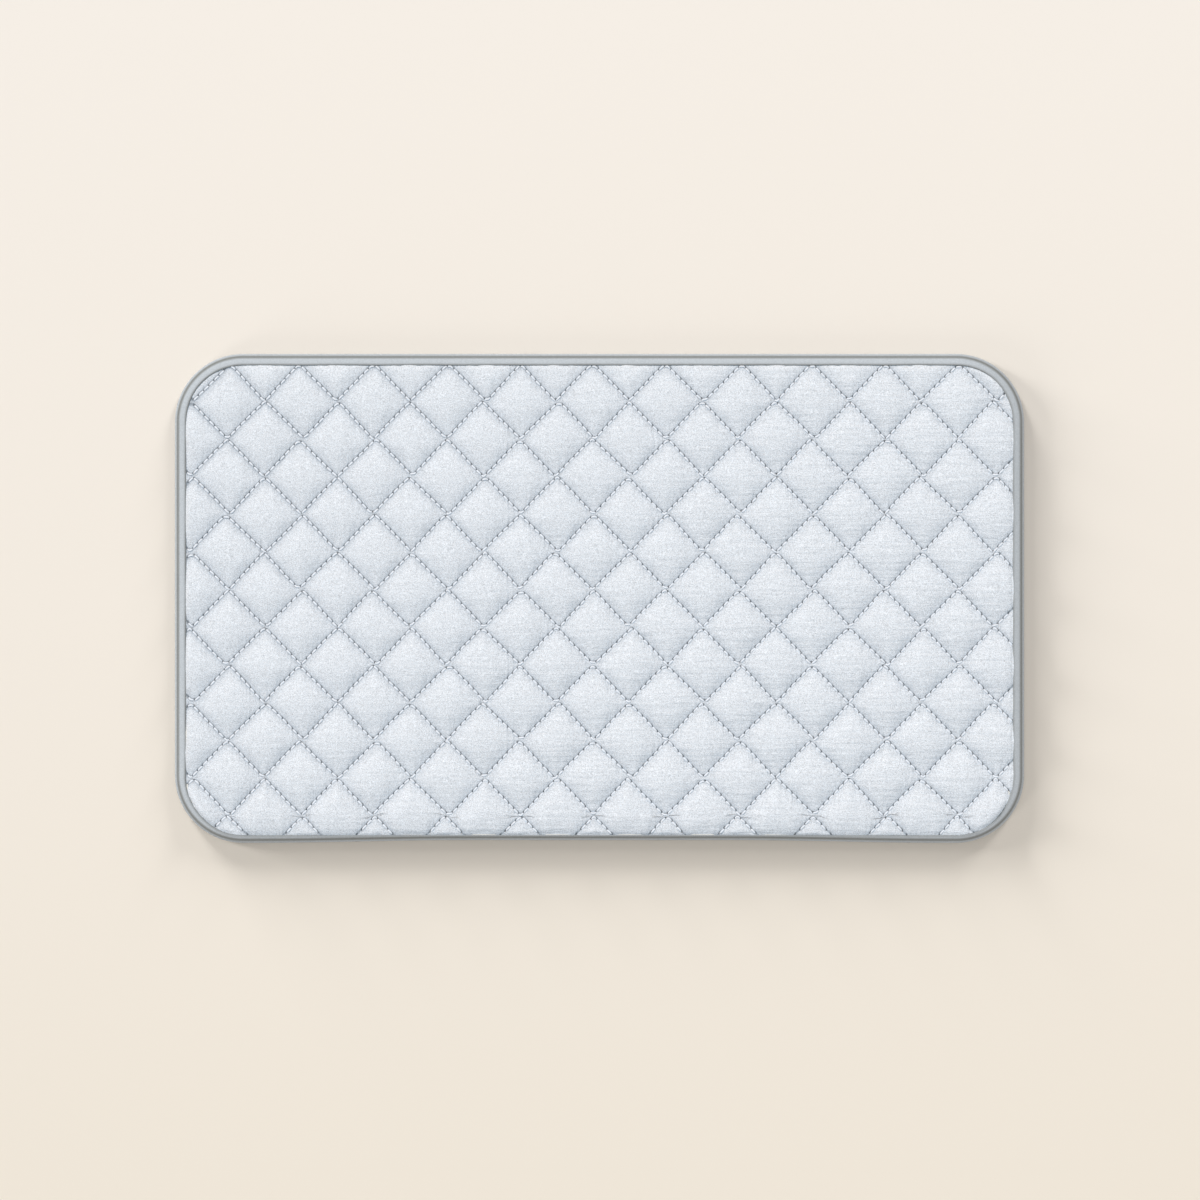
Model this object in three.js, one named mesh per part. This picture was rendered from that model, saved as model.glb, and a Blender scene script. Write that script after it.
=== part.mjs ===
// An ironing pad: a quilted mat that is laid flat on a table to iron on. A pale face cloth, wadding,
// a heat barrier, an underlay and a felt backing are quilted together in diamonds by zigzag rows of
// lockstitch, and a folded tape binds the cut edge.
// Millimetres, +Z up, X along the long side. The pad lies on z = 0 with its centre on the Z axis.

import * as THREE from 'three';
import { mergeVertices } from 'three/addons/utils/BufferGeometryUtils.js';

// Outline of the pad, over the binding
const padLength = 840;
const padWidth = 480;
const cornerRadius = 66;
const cornerSteps = 5;

// Quilting: the stitch lines cut the pad into diamonds. The pad is cut from a wider quilted cloth, so
// the pattern is not centred: one meeting point of the stitch lines lies at the shift from the middle.
const cellWidth = 72.5;
const cellHeight = 75;
const patternShiftX = -7;
const patternShiftY = 9.5;
const rowGap = 5.5; // between the turns of two rows where they nearly touch
const shortestLeg = 3;
const widestTurnShare = 0.4; // of the cell's width: a row with wider turns is cut off by the edge

// Pillows between the stitch lines
const crownRise = 4;
const crownTopShare = 0.4; // flat middle of a face pillow, as a share of its cell
const undersideRise = 2;
const undersideTopShare = 0.6;
const leastPillowShare = 0.2; // a cut cell smaller than this share of a whole one stays flat
const pointedPillowShare = 0.5; // and one smaller than this comes to a point

// Layers, as thick as the stitches press them
const faceClothThickness = 0.6;
const waddingPressed = 0.8;
const barrierThickness = 0.3;
const underlayThickness = 1;
const backingPressed = 0.6;
const layerGap = 0.3;

// Binding tape, folded round the cut edge
const bindingWidth = 9;
const upperLip = 1;
const lowerLip = 0.7;
const lowerLipWidth = 2.5; // flat part of the lower lip, where its seam lies
const lipDrop = 0.3; // from the round of the fold down to the lip's stitched edge
const foldWidth = 4; // how far in the round of the fold reaches
const foldWall = 2; // from the outer edge to the inside of the fold
const foldSteps = 6;
const cutEdgeGap = 0.5;

// Seam channel, between the tape and the first pillows, and the threads
const seamChannel = 2.2;
const threadWidth = 1;
const threadHeight = 0.8;
const bindingThreadWidth = 0.8;
const bindingThreadHeight = 0.6;
const lowerSeamSetback = 1.5; // of the lower binding seam from the edge of the tape
const threadEndGap = 0.5;

// Heights that follow from the layers
const backingBottom = undersideRise;
const backingTop = backingBottom + backingPressed;
const underlayBottom = backingTop + layerGap;
const underlayTop = underlayBottom + underlayThickness;
const barrierBottom = underlayTop + layerGap;
const barrierTop = barrierBottom + barrierThickness;
const waddingBottom = barrierTop + layerGap;
const waddingTop = waddingBottom + waddingPressed;
const faceBottom = waddingTop + layerGap;
const faceTop = faceBottom + faceClothThickness;

// Places across the edge, measured in from the outline
const cutEdgeInset = foldWall + cutEdgeGap;
const sewnInset = bindingWidth + seamChannel;
const halfCellWidth = cellWidth / 2;
const halfCellHeight = cellHeight / 2;

const faceFinish = new THREE.MeshStandardMaterial({ color: 0xe2e8f1, roughness: 0.9, metalness: 0 });
const waddingFinish = new THREE.MeshStandardMaterial({ color: 0xf2f1ec, roughness: 1, metalness: 0 });
const barrierFinish = new THREE.MeshStandardMaterial({ color: 0xc8cbcf, roughness: 0.35, metalness: 0.8 });
const underlayFinish = new THREE.MeshStandardMaterial({ color: 0xe6e3da, roughness: 1, metalness: 0 });
const backingFinish = new THREE.MeshStandardMaterial({ color: 0xd3d6d8, roughness: 1, metalness: 0 });
const tapeFinish = new THREE.MeshStandardMaterial({ color: 0xb6bdc3, roughness: 0.8, metalness: 0 });
const threadFinish = new THREE.MeshStandardMaterial({ color: 0xf4f7fb, roughness: 0.6, metalness: 0 });

// The outline at a distance in from the edge, anticlockwise, with the same points at every distance.
function outline(inset) {
  const radius = cornerRadius - inset;
  const points = [];
  for (let corner = 0; corner < 4; corner++) {
    const sideX = corner === 0 || corner === 3 ? 1 : -1;
    const sideY = corner < 2 ? 1 : -1;
    const centreX = sideX * (padLength / 2 - cornerRadius);
    const centreY = sideY * (padWidth / 2 - cornerRadius);
    for (let step = 0; step <= cornerSteps; step++) {
      const angle = (corner + step / cornerSteps) * (Math.PI / 2);
      points.push(new THREE.Vector2(centreX + radius * Math.cos(angle), centreY + radius * Math.sin(angle)));
    }
  }
  return points;
}

// How far a point lies to the left of the line from a to b.
function leftOf(point, a, b) {
  const along = b.clone().sub(a).normalize();
  return along.x * (point.y - a.y) - along.y * (point.x - a.x);
}

// The part of a convex polygon that lies inside a convex loop.
function clipped(polygon, loop) {
  let kept = polygon;
  loop.forEach((a, edge) => {
    const b = loop[(edge + 1) % loop.length];
    const next = [];
    kept.forEach((point, index) => {
      const following = kept[(index + 1) % kept.length];
      const here = leftOf(point, a, b);
      const there = leftOf(following, a, b);
      if (here >= 0) next.push(point);
      if (here * there < 0) next.push(point.clone().lerp(following, here / (here - there)));
    });
    kept = next;
  });
  return kept;
}

// Meeting points of the stitch lines lie where column + row is even, cell centres where it is odd.
function patternPoint(column, row) {
  return new THREE.Vector2(patternShiftX + column * halfCellWidth, patternShiftY + row * halfCellHeight);
}

const lastColumn = Math.ceil(padLength / cellWidth) + 1;
const lastRow = Math.ceil(padWidth / cellHeight) + 1;

// The diamonds between the stitch lines, cut to the sewn outline.
function quiltCells() {
  const loop = outline(sewnInset);
  const wholeArea = (cellWidth * cellHeight) / 2;
  const cells = [];
  for (let row = -lastRow; row <= lastRow; row++) {
    for (let column = -lastColumn; column <= lastColumn; column++) {
      if ((column + row) % 2 === 0) continue;
      const diamond = [
        patternPoint(column + 1, row),
        patternPoint(column, row + 1),
        patternPoint(column - 1, row),
        patternPoint(column, row - 1),
      ];
      const points = clipped(diamond, loop);
      if (points.length < 3) continue;
      const centre = new THREE.Vector2();
      points.forEach((point) => centre.add(point));
      centre.divideScalar(points.length);
      const areaShare = THREE.ShapeUtils.area(points) / wholeArea;
      const fullness = areaShare < leastPillowShare ? 0 : Math.sqrt(areaShare);
      cells.push({ points, centre, fullness, isPointed: areaShare < pointedPillowShare });
    }
  }
  return cells;
}

const cells = quiltCells();

// Every corner of a cell that lies on the sewn outline, in order round it.
function sewnLoop() {
  const loop = outline(sewnInset);
  const touching = 1e-9 * padLength;
  const points = [];
  loop.forEach((a, edge) => {
    const b = loop[(edge + 1) % loop.length];
    const length = a.distanceTo(b);
    const along = b.clone().sub(a).divideScalar(length);
    const found = [];
    for (const point of cells.flatMap((cell) => cell.points)) {
      const place = point.clone().sub(a).dot(along);
      const isNew = found.every((other) => Math.abs(other.place - place) > touching);
      const isOnEdge = place > -touching && place < length - touching;
      if (isOnEdge && isNew && Math.abs(leftOf(point, a, b)) < touching) found.push({ place, point });
    }
    found.sort((one, other) => one.place - other.place);
    points.push(...found.map((entry) => entry.point));
  });
  return points;
}

const sewnPoints = sewnLoop();

function raised(point, height) {
  return new THREE.Vector3(point.x, point.y, height);
}

// The flat triangles between a loop and the holes in it, at a height.
function flatFaces(loop, holes, height) {
  const corners = [...loop, ...holes.flat()].map((point) => raised(point, height));
  return THREE.ShapeUtils.triangulateShape(loop, holes).map((face) => face.map((index) => corners[index]));
}

// A quilted surface, seen from above: level along the stitch lines and out to the cut edge, with one
// pillow to a cell. A pillow has sloping sides and a flat middle, or comes to a point where the share
// for the middle is zero.
function quiltedSurface(level, rise, flatShare) {
  const triangles = flatFaces(outline(cutEdgeInset), [sewnPoints], level);
  for (const { points, centre, fullness, isPointed } of cells) {
    const topShare = isPointed ? 0 : flatShare;
    const rim = points.map((point) => raised(point, level));
    if (fullness === 0) {
      for (let i = 2; i < rim.length; i++) triangles.push([rim[0], rim[i - 1], rim[i]]);
      continue;
    }
    const height = level + rise * fullness;
    const middle = points.map((point) => raised(centre.clone().lerp(point, topShare), height));
    rim.forEach((corner, index) => {
      const next = (index + 1) % rim.length;
      triangles.push([corner, rim[next], middle[next]]);
      if (topShare > 0) triangles.push([corner, middle[next], middle[index]]);
    });
    if (topShare === 0) continue;
    for (let i = 2; i < middle.length; i++) triangles.push([middle[0], middle[i - 1], middle[i]]);
  }
  return { level, triangles };
}

function flatSurface(level) {
  return { level, triangles: flatFaces(outline(cutEdgeInset), [], level) };
}

function meshOf(name, triangles, finish) {
  const places = triangles.flatMap((corners) => corners.flatMap((corner) => [corner.x, corner.y, corner.z]));
  const geometry = new THREE.BufferGeometry();
  geometry.setAttribute('position', new THREE.Float32BufferAttribute(places, 3));
  const merged = mergeVertices(geometry);
  merged.computeVertexNormals();
  const mesh = new THREE.Mesh(merged, finish);
  mesh.name = name;
  return mesh;
}

// One layer of the pad: an upper and a lower surface, and the wall between them at the cut edge.
function layer(name, upper, lower, finish) {
  const triangles = [...upper.triangles, ...lower.triangles.map(([a, b, c]) => [a, c, b])];
  const loop = outline(cutEdgeInset);
  loop.forEach((point, index) => {
    const next = loop[(index + 1) % loop.length];
    const corner = raised(point, lower.level);
    const opposite = raised(next, upper.level);
    triangles.push([corner, raised(next, lower.level), opposite]);
    triangles.push([corner, opposite, raised(point, upper.level)]);
  });
  return meshOf(name, triangles, finish);
}

// A ring round the pad: a closed section of points, each an inset and a height, carried round the outline.
function edgeRing(name, section, finish) {
  const loops = section.map(([inset, height]) => outline(inset).map((point) => raised(point, height)));
  const triangles = [];
  loops.forEach((loop, index) => {
    const beside = loops[(index + 1) % loops.length];
    loop.forEach((point, place) => {
      const next = (place + 1) % loop.length;
      triangles.push([point, beside[next], loop[next]]);
      triangles.push([point, beside[place], beside[next]]);
    });
  });
  return meshOf(name, triangles, finish);
}

// The tape lies over the face with its upper lip, rounds the cut edge and ends under the backing. The
// round of the fold reaches down as far as the pillows underneath, so that the pad lies on both.
function edgeBinding() {
  const slotTop = faceTop + layerGap;
  const slotBottom = backingBottom - layerGap;
  const top = slotTop + upperLip;
  const bottom = backingBottom - undersideRise;
  const lipBottom = slotBottom - lowerLip;
  const middle = (top + bottom) / 2;
  const halfHeight = (top - bottom) / 2;
  const section = [
    [bindingWidth, lipBottom],
    [bindingWidth - lowerLipWidth, lipBottom],
  ];
  for (let step = 0; step <= foldSteps; step++) {
    const angle = Math.PI * (step / foldSteps - 0.5);
    section.push([foldWidth * (1 - Math.cos(angle)), middle + halfHeight * Math.sin(angle)]);
  }
  section.push(
    [bindingWidth, top - lipDrop],
    [bindingWidth, slotTop],
    [foldWall, slotTop],
    [foldWall, slotBottom],
    [bindingWidth, slotBottom],
  );
  return edgeRing('edge_binding', section.reverse(), tapeFinish);
}

// The binding is sewn from the face, in the seam channel. The lower thread shows on the tape's lower lip.
function bindingThreads() {
  const half = bindingThreadWidth / 2;
  const seam = bindingWidth + seamChannel / 2;
  const seat = faceTop + layerGap;
  const lowerSeam = bindingWidth - lowerSeamSetback;
  const underSeat = backingBottom - layerGap - lowerLip - layerGap;
  const upper = [[seam - half, seat], [seam + half, seat], [seam, seat + bindingThreadHeight]];
  const lower = [
    [lowerSeam + half, underSeat],
    [lowerSeam - half, underSeat],
    [lowerSeam, underSeat - bindingThreadHeight],
  ];
  return [
    edgeRing('binding_needle_thread', upper, threadFinish),
    edgeRing('binding_bobbin_thread', lower, threadFinish),
  ];
}

// A run of straight stretches, with one ring of the thread at each of its points.
class StitchRun extends THREE.Curve {
  constructor(points) {
    super();
    this.points = points;
  }

  getPoint(share, target = new THREE.Vector3()) {
    const place = share * (this.points.length - 1);
    const start = Math.min(Math.floor(place), this.points.length - 2);
    return target.lerpVectors(this.points[start], this.points[start + 1], place - start);
  }

  getPointAt(share, target) {
    return this.getPoint(share, target);
  }

  // The direction halfway between the stretches before and after a point.
  getTangentAt(share, target = new THREE.Vector3()) {
    const last = this.points.length - 1;
    const index = Math.round(share * last);
    const here = this.points[index];
    const before = here.clone().sub(this.points[Math.max(index - 1, 0)]).normalize();
    const after = this.points[Math.min(index + 1, last)].clone().sub(here).normalize();
    return target.addVectors(before, after).normalize();
  }
}

// The stretch of the line from a to b that lies inside a convex loop, or null.
function lineInside(a, b, loop) {
  let from = 0;
  let to = 1;
  loop.forEach((p, edge) => {
    const q = loop[(edge + 1) % loop.length];
    const start = leftOf(a, p, q);
    const end = leftOf(b, p, q);
    if (start < 0 && end < 0) to = from;
    else if (start < 0) from = Math.max(from, start / (start - end));
    else if (end < 0) to = Math.min(to, start / (start - end));
  });
  const isLongEnough = (to - from) * a.distanceTo(b) > shortestLeg;
  return isLongEnough ? [a.clone().lerp(b, from), a.clone().lerp(b, to)] : null;
}

// The zigzag rows, from the top row down. Each is a list of points in the plane: the two ends of
// every slanting leg. A row that the edge of the pad cuts into separate pieces is left out.
function quiltRows() {
  const loop = outline(sewnInset + threadEndGap);
  const turnShare = rowGap / 2 / halfCellHeight;
  const rows = [];
  for (let row = lastRow; row > -lastRow; row--) {
    const points = [];
    for (let column = -lastColumn; column < lastColumn; column++) {
      const startsHigh = (column + row) % 2 === 0;
      const start = patternPoint(column, startsHigh ? row : row - 1);
      const end = patternPoint(column + 1, startsHigh ? row - 1 : row);
      const leg = lineInside(start.clone().lerp(end, turnShare), end.clone().lerp(start, turnShare), loop);
      if (leg) points.push(...leg);
    }
    const widestTurn = widestTurnShare * cellWidth;
    const isWhole = points.every((point, i) => i % 2 === 0 || i === points.length - 1 ||
      point.distanceTo(points[i + 1]) < widestTurn);
    if (points.length > 2 && isWhole) rows.push(points);
  }
  return rows;
}

// How high a pillow stands over its stitch line, at the side of a thread that turns near its corner.
function rideHeight(rise, topShare) {
  const slope = rise / ((1 - topShare) * halfCellHeight);
  return slope * (rowGap / 2 + threadWidth / 2);
}

// One sewing thread along a row. Its flat side lies on the cloth: down on the face, up underneath.
function quiltThread(name, row, seat, isUnderneath) {
  const outward = isUnderneath ? -1 : 1;
  const points = row.map((point) => raised(point, seat + (outward * threadHeight) / 2));
  const path = new StitchRun(points);
  const section = new THREE.Shape([
    new THREE.Vector2((outward * threadHeight) / 2, -threadWidth / 2),
    new THREE.Vector2((outward * threadHeight) / 2, threadWidth / 2),
    new THREE.Vector2((-outward * threadHeight) / 2, 0),
  ]);
  const geometry = new THREE.ExtrudeGeometry(section, { steps: points.length - 1, extrudePath: path });
  geometry.deleteAttribute('normal');
  geometry.deleteAttribute('uv');
  const merged = mergeVertices(geometry);
  merged.computeVertexNormals();
  const mesh = new THREE.Mesh(merged, threadFinish);
  mesh.name = name;
  return mesh;
}

const faceOutside = quiltedSurface(faceTop, crownRise, crownTopShare);
const faceInside = quiltedSurface(faceBottom, crownRise, 0);
const waddingUpper = quiltedSurface(waddingTop, crownRise, 0);
const waddingLower = flatSurface(waddingBottom);
const barrierUpper = flatSurface(barrierTop);
const barrierLower = flatSurface(barrierBottom);
const underlayUpper = flatSurface(underlayTop);
const underlayLower = flatSurface(underlayBottom);
const backingInside = flatSurface(backingTop);
const backingOutside = quiltedSurface(backingBottom, -undersideRise, undersideTopShare);

const pad = new THREE.Group();
pad.add(layer('face_cloth', faceOutside, faceInside, faceFinish));
pad.add(layer('upper_wadding', waddingUpper, waddingLower, waddingFinish));
pad.add(layer('heat_barrier', barrierUpper, barrierLower, barrierFinish));
pad.add(layer('underlay', underlayUpper, underlayLower, underlayFinish));
pad.add(layer('backing_felt', backingInside, backingOutside, backingFinish));
pad.add(edgeBinding(), ...bindingThreads());

const needleSeat = faceTop + layerGap + rideHeight(crownRise, crownTopShare);
const bobbinSeat = backingBottom - layerGap - rideHeight(undersideRise, undersideTopShare);
quiltRows().forEach((row, index) => {
  const number = String(index + 1).padStart(2, '0');
  pad.add(quiltThread(`needle_thread_${number}`, row, needleSeat, false));
  pad.add(quiltThread(`bobbin_thread_${number}`, row, bobbinSeat, true));
});

export default pad;
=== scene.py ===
"""A quilted ironing pad that lies flat on a table, looked at from straight above.

Metres, +Z up, X along the long side. The pad lies on z = 0 with its middle on the Z axis. Its face cloth,
wadding, heat barrier, underlay and felt backing are sewn together in diamonds by zigzag rows of lockstitch,
and a folded tape binds the edge.
"""

import logging
import math
from dataclasses import dataclass
from enum import Enum

import bpy
import numpy as np
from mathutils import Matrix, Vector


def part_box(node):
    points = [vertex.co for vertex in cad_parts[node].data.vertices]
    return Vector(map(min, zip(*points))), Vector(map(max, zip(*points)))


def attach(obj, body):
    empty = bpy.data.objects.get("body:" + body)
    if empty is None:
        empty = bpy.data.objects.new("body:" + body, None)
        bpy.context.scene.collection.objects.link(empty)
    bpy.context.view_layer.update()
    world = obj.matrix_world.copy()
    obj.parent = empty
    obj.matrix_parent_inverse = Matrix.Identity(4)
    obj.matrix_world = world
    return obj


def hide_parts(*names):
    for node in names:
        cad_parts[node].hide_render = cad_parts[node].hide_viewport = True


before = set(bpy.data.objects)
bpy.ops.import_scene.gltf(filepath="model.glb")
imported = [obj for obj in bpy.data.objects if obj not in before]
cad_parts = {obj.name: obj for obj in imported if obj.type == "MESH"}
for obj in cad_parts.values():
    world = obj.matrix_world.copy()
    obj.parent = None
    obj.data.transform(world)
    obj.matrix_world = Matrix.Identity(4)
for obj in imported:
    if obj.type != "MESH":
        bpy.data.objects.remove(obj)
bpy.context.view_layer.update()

Array = np.ndarray
MM = 0.001
TINY = MM * MM
SIDE_BULGE = 3.0 * MM  # how far the cloth bulges past the solids at each end
TOP_BULGE = 2.6 * MM  # and at the upper side
log = logging.getLogger("ironing_pad")


class Side(Enum):
    """The two sides of the pad that show quilting, as the sign of their outward direction."""

    FACE = 1
    UNDERSIDE = -1


class Weave(Enum):
    """How a cloth's surface is made."""

    PLAIN = "plain"
    FELTED = "felted"


def smooth_step(values: Array, low: float, high: float) -> Array:
    """A ramp from 0 at low to 1 at high that starts and ends level.

    Formula: three times the square of the share less twice its cube.

    Args:
        values: where the ramp is read.
        low: where it starts.
        high: where it ends.

    Returns:
        The ramp's height at each value.
    """
    share = np.clip((values - low) / (high - low), 0.0, 1.0)
    return share * share * (3.0 - 2.0 * share)


def grid_faces(rows: int, columns: int, closed_rows: bool = False, closed_columns: bool = False) -> Array:
    """The four-cornered faces of a grid of points, numbered row by row.

    Args:
        rows: number of rows of points.
        columns: number of points in a row.
        closed_rows: whether the last row joins the first.
        closed_columns: whether the last point of a row joins its first.

    Returns:
        One row of four point numbers for each face.
    """
    row = np.arange(rows if closed_rows else rows - 1)[:, None]
    column = np.arange(columns if closed_columns else columns - 1)[None, :]
    next_row = (row + 1) % rows
    next_column = (column + 1) % columns
    corners = [
        row * columns + column,
        next_row * columns + column,
        next_row * columns + next_column,
        row * columns + next_column,
    ]
    return np.stack(np.broadcast_arrays(*corners), axis=-1).reshape(-1, 4)


def perimeter(rows: int, columns: int) -> Array:
    """The point numbers round the edge of a grid, from its first point along its first row and on."""
    numbers = np.arange(rows * columns).reshape(rows, columns)
    return np.concatenate([numbers[0, :-1], numbers[:-1, -1], numbers[-1, :0:-1], numbers[:0:-1, 0]])


def closed_between(upper: Array, lower: Array) -> tuple[Array, list]:
    """Joins two grids of points over one another into a closed body. One may be twice as fine.

    Args:
        upper: points of shape (rows, columns, 3), whose first row lies furthest along Y.
        lower: the same, for the underside.

    Returns:
        The points of both, and the faces of the two sides and of the rim between them.
    """
    points = np.concatenate([upper.reshape(-1, 3), lower.reshape(-1, 3)])
    below = upper.size // 3
    top = grid_faces(*upper.shape[:2])
    base = grid_faces(*lower.shape[:2])[:, ::-1] + below
    over = perimeter(*upper.shape[:2])
    under = perimeter(*lower.shape[:2]) + below
    over_ends = over[:: max(1, len(over) // len(under))]
    under_ends = under[:: max(1, len(under) // len(over))]
    corners = [over_ends, np.roll(over_ends, -1), np.roll(under_ends, -1), under_ends]
    if len(over) > len(over_ends):
        corners.insert(1, over[1::2])
    if len(under) > len(under_ends):
        corners.insert(3, under[1::2])
    rim = np.stack(corners, axis=-1)
    return points, top.tolist() + base.tolist() + rim.tolist()


def refined(field: Array) -> Array:
    """Doubles a grid's rows and columns on a smooth curve through its points.

    Formula: a new point between two others is nine sixteenths of each, less one sixteenth of each of
    their outer neighbours. Beyond the ends the grid is carried on in a straight line.

    Args:
        field: values on the coarse grid, of shape (rows, columns, parts).

    Returns:
        The values on the fine grid, of shape (2 * rows - 1, 2 * columns - 1, parts).
    """
    for _ in range(2):
        before = 2.0 * field[:1] - field[1:2]
        after = 2.0 * field[-1:] - field[-2:-1]
        padded = np.concatenate([before, field, after])
        middle = (9.0 * (padded[1:-2] + padded[2:-1]) - padded[:-3] - padded[3:]) / 16.0
        fine = np.empty((2 * len(field) - 1,) + field.shape[1:])
        fine[::2] = field
        fine[1::2] = middle
        field = fine.swapaxes(0, 1)
    return field


@dataclass(frozen=True)
class Outline:
    """The edge of the pad over its binding: a rounded rectangle whose lower side bows in a little.

    lower_middle: how far down the lower side's middle lies. lower_corner_drop: how much further down its
    corners lie, on a ramp from drop_start to drop_end. tape_band: the width of the tape's upper lip.
    lower_lip_line: how far down the lip's straight edge lies there. cut_share: the share of the lip's
    width at which the layers end.
    """

    half_length: float
    half_width: float
    corner_radius: float = 68.0 * MM
    lower_middle: float = 241.6 * MM
    lower_corner_drop: float = 2.8 * MM
    drop_start: float = 130.0 * MM
    drop_end: float = 345.0 * MM
    tape_band: float = 11.6 * MM
    lower_lip_line: float = 236.7 * MM
    lower_share_power: float = 8.0
    cut_share: float = 0.5

    def lower_half_width(self, x: Array) -> Array:
        """How far the lower side lies from the middle: a smooth ramp from its bow to its corners."""
        to_corner = smooth_step(np.abs(x), self.drop_start, self.drop_end)
        return self.lower_middle + self.lower_corner_drop * to_corner

    def past_corners(self, x: Array, y: Array) -> tuple[Array, Array]:
        """How far points lie past the rectangle of the corners' centres, along and across the pad."""
        half_width = np.where(y < 0.0, self.lower_half_width(x), self.half_width)
        along = np.abs(x) - (self.half_length - self.corner_radius)
        across = np.abs(y) - (half_width - self.corner_radius)
        return along, across

    def inset(self, x: Array, y: Array) -> Array:
        """Distance in from the edge, negative outside.

        Formula: the corner radius less the distance from the rectangle of the corners' centres, which
        counts as negative inside that rectangle.

        Args:
            x: places along the pad.
            y: places across it.

        Returns:
            The distance of each place from the edge.
        """
        along, across = self.past_corners(x, y)
        outside = np.hypot(np.maximum(along, 0.0), np.maximum(across, 0.0))
        return self.corner_radius - outside - np.minimum(np.maximum(along, across), 0.0)

    def outward(self, x: Array, y: Array) -> Array:
        """The direction in the plane in which each place is nearest to the edge.

        Args:
            x: places along the pad.
            y: places across it.

        Returns:
            Unit directions, of the shape of x with an axis of two parts more.
        """
        along, across = self.past_corners(x, y)
        sideways = np.where(along > across, np.maximum(along, TINY), np.maximum(along, 0.0))
        up = np.where(along > across, np.maximum(across, 0.0), np.maximum(across, TINY))
        length = np.hypot(sideways, up)
        return np.stack([np.sign(x) * sideways / length, np.sign(y) * up / length], axis=-1)

    def band(self, x: Array, y: Array) -> Array:
        """Width of the tape's upper lip, seen from above.

        Formula: the tape's full band, which narrows to the straight lip line along the lower side by a
        high power of how far down a place lies.

        Args:
            x: places along the pad.
            y: places across it.

        Returns:
            The width of the band that is nearest to each place.
        """
        low_share = np.clip(-y / self.lower_middle, 0.0, 1.0) ** self.lower_share_power
        narrow = self.lower_half_width(x) - self.lower_lip_line
        return self.tape_band - (self.tape_band - narrow) * low_share

    @property
    def cut_inset(self) -> float:
        """How far in from the edge the layers end, inside the tape, on all sides but the lower one."""
        return self.cut_share * self.tape_band

    def reach(self, x: Array) -> tuple[Array, Array]:
        """The cut edge of the layers over and under each place along the pad.

        Formula: a straight side that ends in quarter ellipses, which turn upright where the cut edge's
        own sides stand.

        Args:
            x: places along the pad, no further out than the cut edge.

        Returns:
            The upper and the lower limit at each place.
        """
        turn = np.maximum(np.abs(x) - (self.half_length - self.corner_radius), 0.0)
        share = np.sqrt(np.maximum(1.0 - (turn / (self.corner_radius - self.cut_inset)) ** 2, 0.0))
        high = self.half_width - self.corner_radius + (self.corner_radius - self.cut_inset) * share
        lower = self.lower_half_width(x)
        lower_inset = self.cut_share * (lower - self.lower_lip_line)
        low = lower - self.corner_radius + (self.corner_radius - lower_inset) * share
        return high, -low

    def stations(self, step: float) -> "Edge":
        """Places round the edge, anticlockwise from the right side's upper end.

        Formula: four quarter circles joined by straight lines, spaced evenly, then moved out along
        their directions until each lies on the edge.

        Args:
            step: the distance between places.

        Returns:
            The edge, sampled.
        """
        corners = []
        for quarter in range(4):
            side_x = 1.0 if quarter in (0, 3) else -1.0
            side_y = 1.0 if quarter < 2 else -1.0
            steps = int(self.corner_radius * math.pi / 2.0 / step)
            angle = (quarter + np.linspace(0.0, 1.0, steps + 1)) * math.pi / 2.0
            centre_x = side_x * (self.half_length - self.corner_radius)
            centre_y = side_y * (self.half_width - self.corner_radius)
            arc = np.stack([np.cos(angle), np.sin(angle)], axis=-1) * self.corner_radius
            corners.append(arc + [centre_x, centre_y])
        loop = np.concatenate(corners + [corners[0][:1]])
        run = np.concatenate([[0.0], np.cumsum(np.linalg.norm(np.diff(loop, axis=0), axis=1))])
        places = np.linspace(0.0, run[-1], int(run[-1] / step), endpoint=False)
        points = np.stack([np.interp(places, run, loop[:, part]) for part in (0, 1)], axis=-1)
        for _ in range(3):
            outward = self.outward(points[:, 0], points[:, 1])
            points = points + outward * self.inset(points[:, 0], points[:, 1])[:, None]
        return Edge(points, self.outward(points[:, 0], points[:, 1]), places, float(run[-1]))


@dataclass(frozen=True)
class Edge:
    """A closed line round the pad: its points, its outward directions and the distance run so far."""

    points: Array
    outward: Array
    run: Array
    length: float

    def moved_in(self, inset: Array | float) -> Array:
        """The line's points, moved in by the given distance."""
        return self.points - self.outward * np.broadcast_to(inset, self.run.shape)[:, None]


@dataclass(frozen=True)
class Drift:
    """A slow wave along a row of stitching, for the hand that guides the cloth.

    size: its height. length: its length. shift: how far it shifts from one row to the next, in turns.
    """

    size: float
    length: float
    shift: float

    def at(self, row: int, x: Array) -> Array:
        """The wave's height on one row at each place along the pad."""
        return self.size * np.sin(2.0 * math.pi * (x / self.length + self.shift * row))


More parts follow.
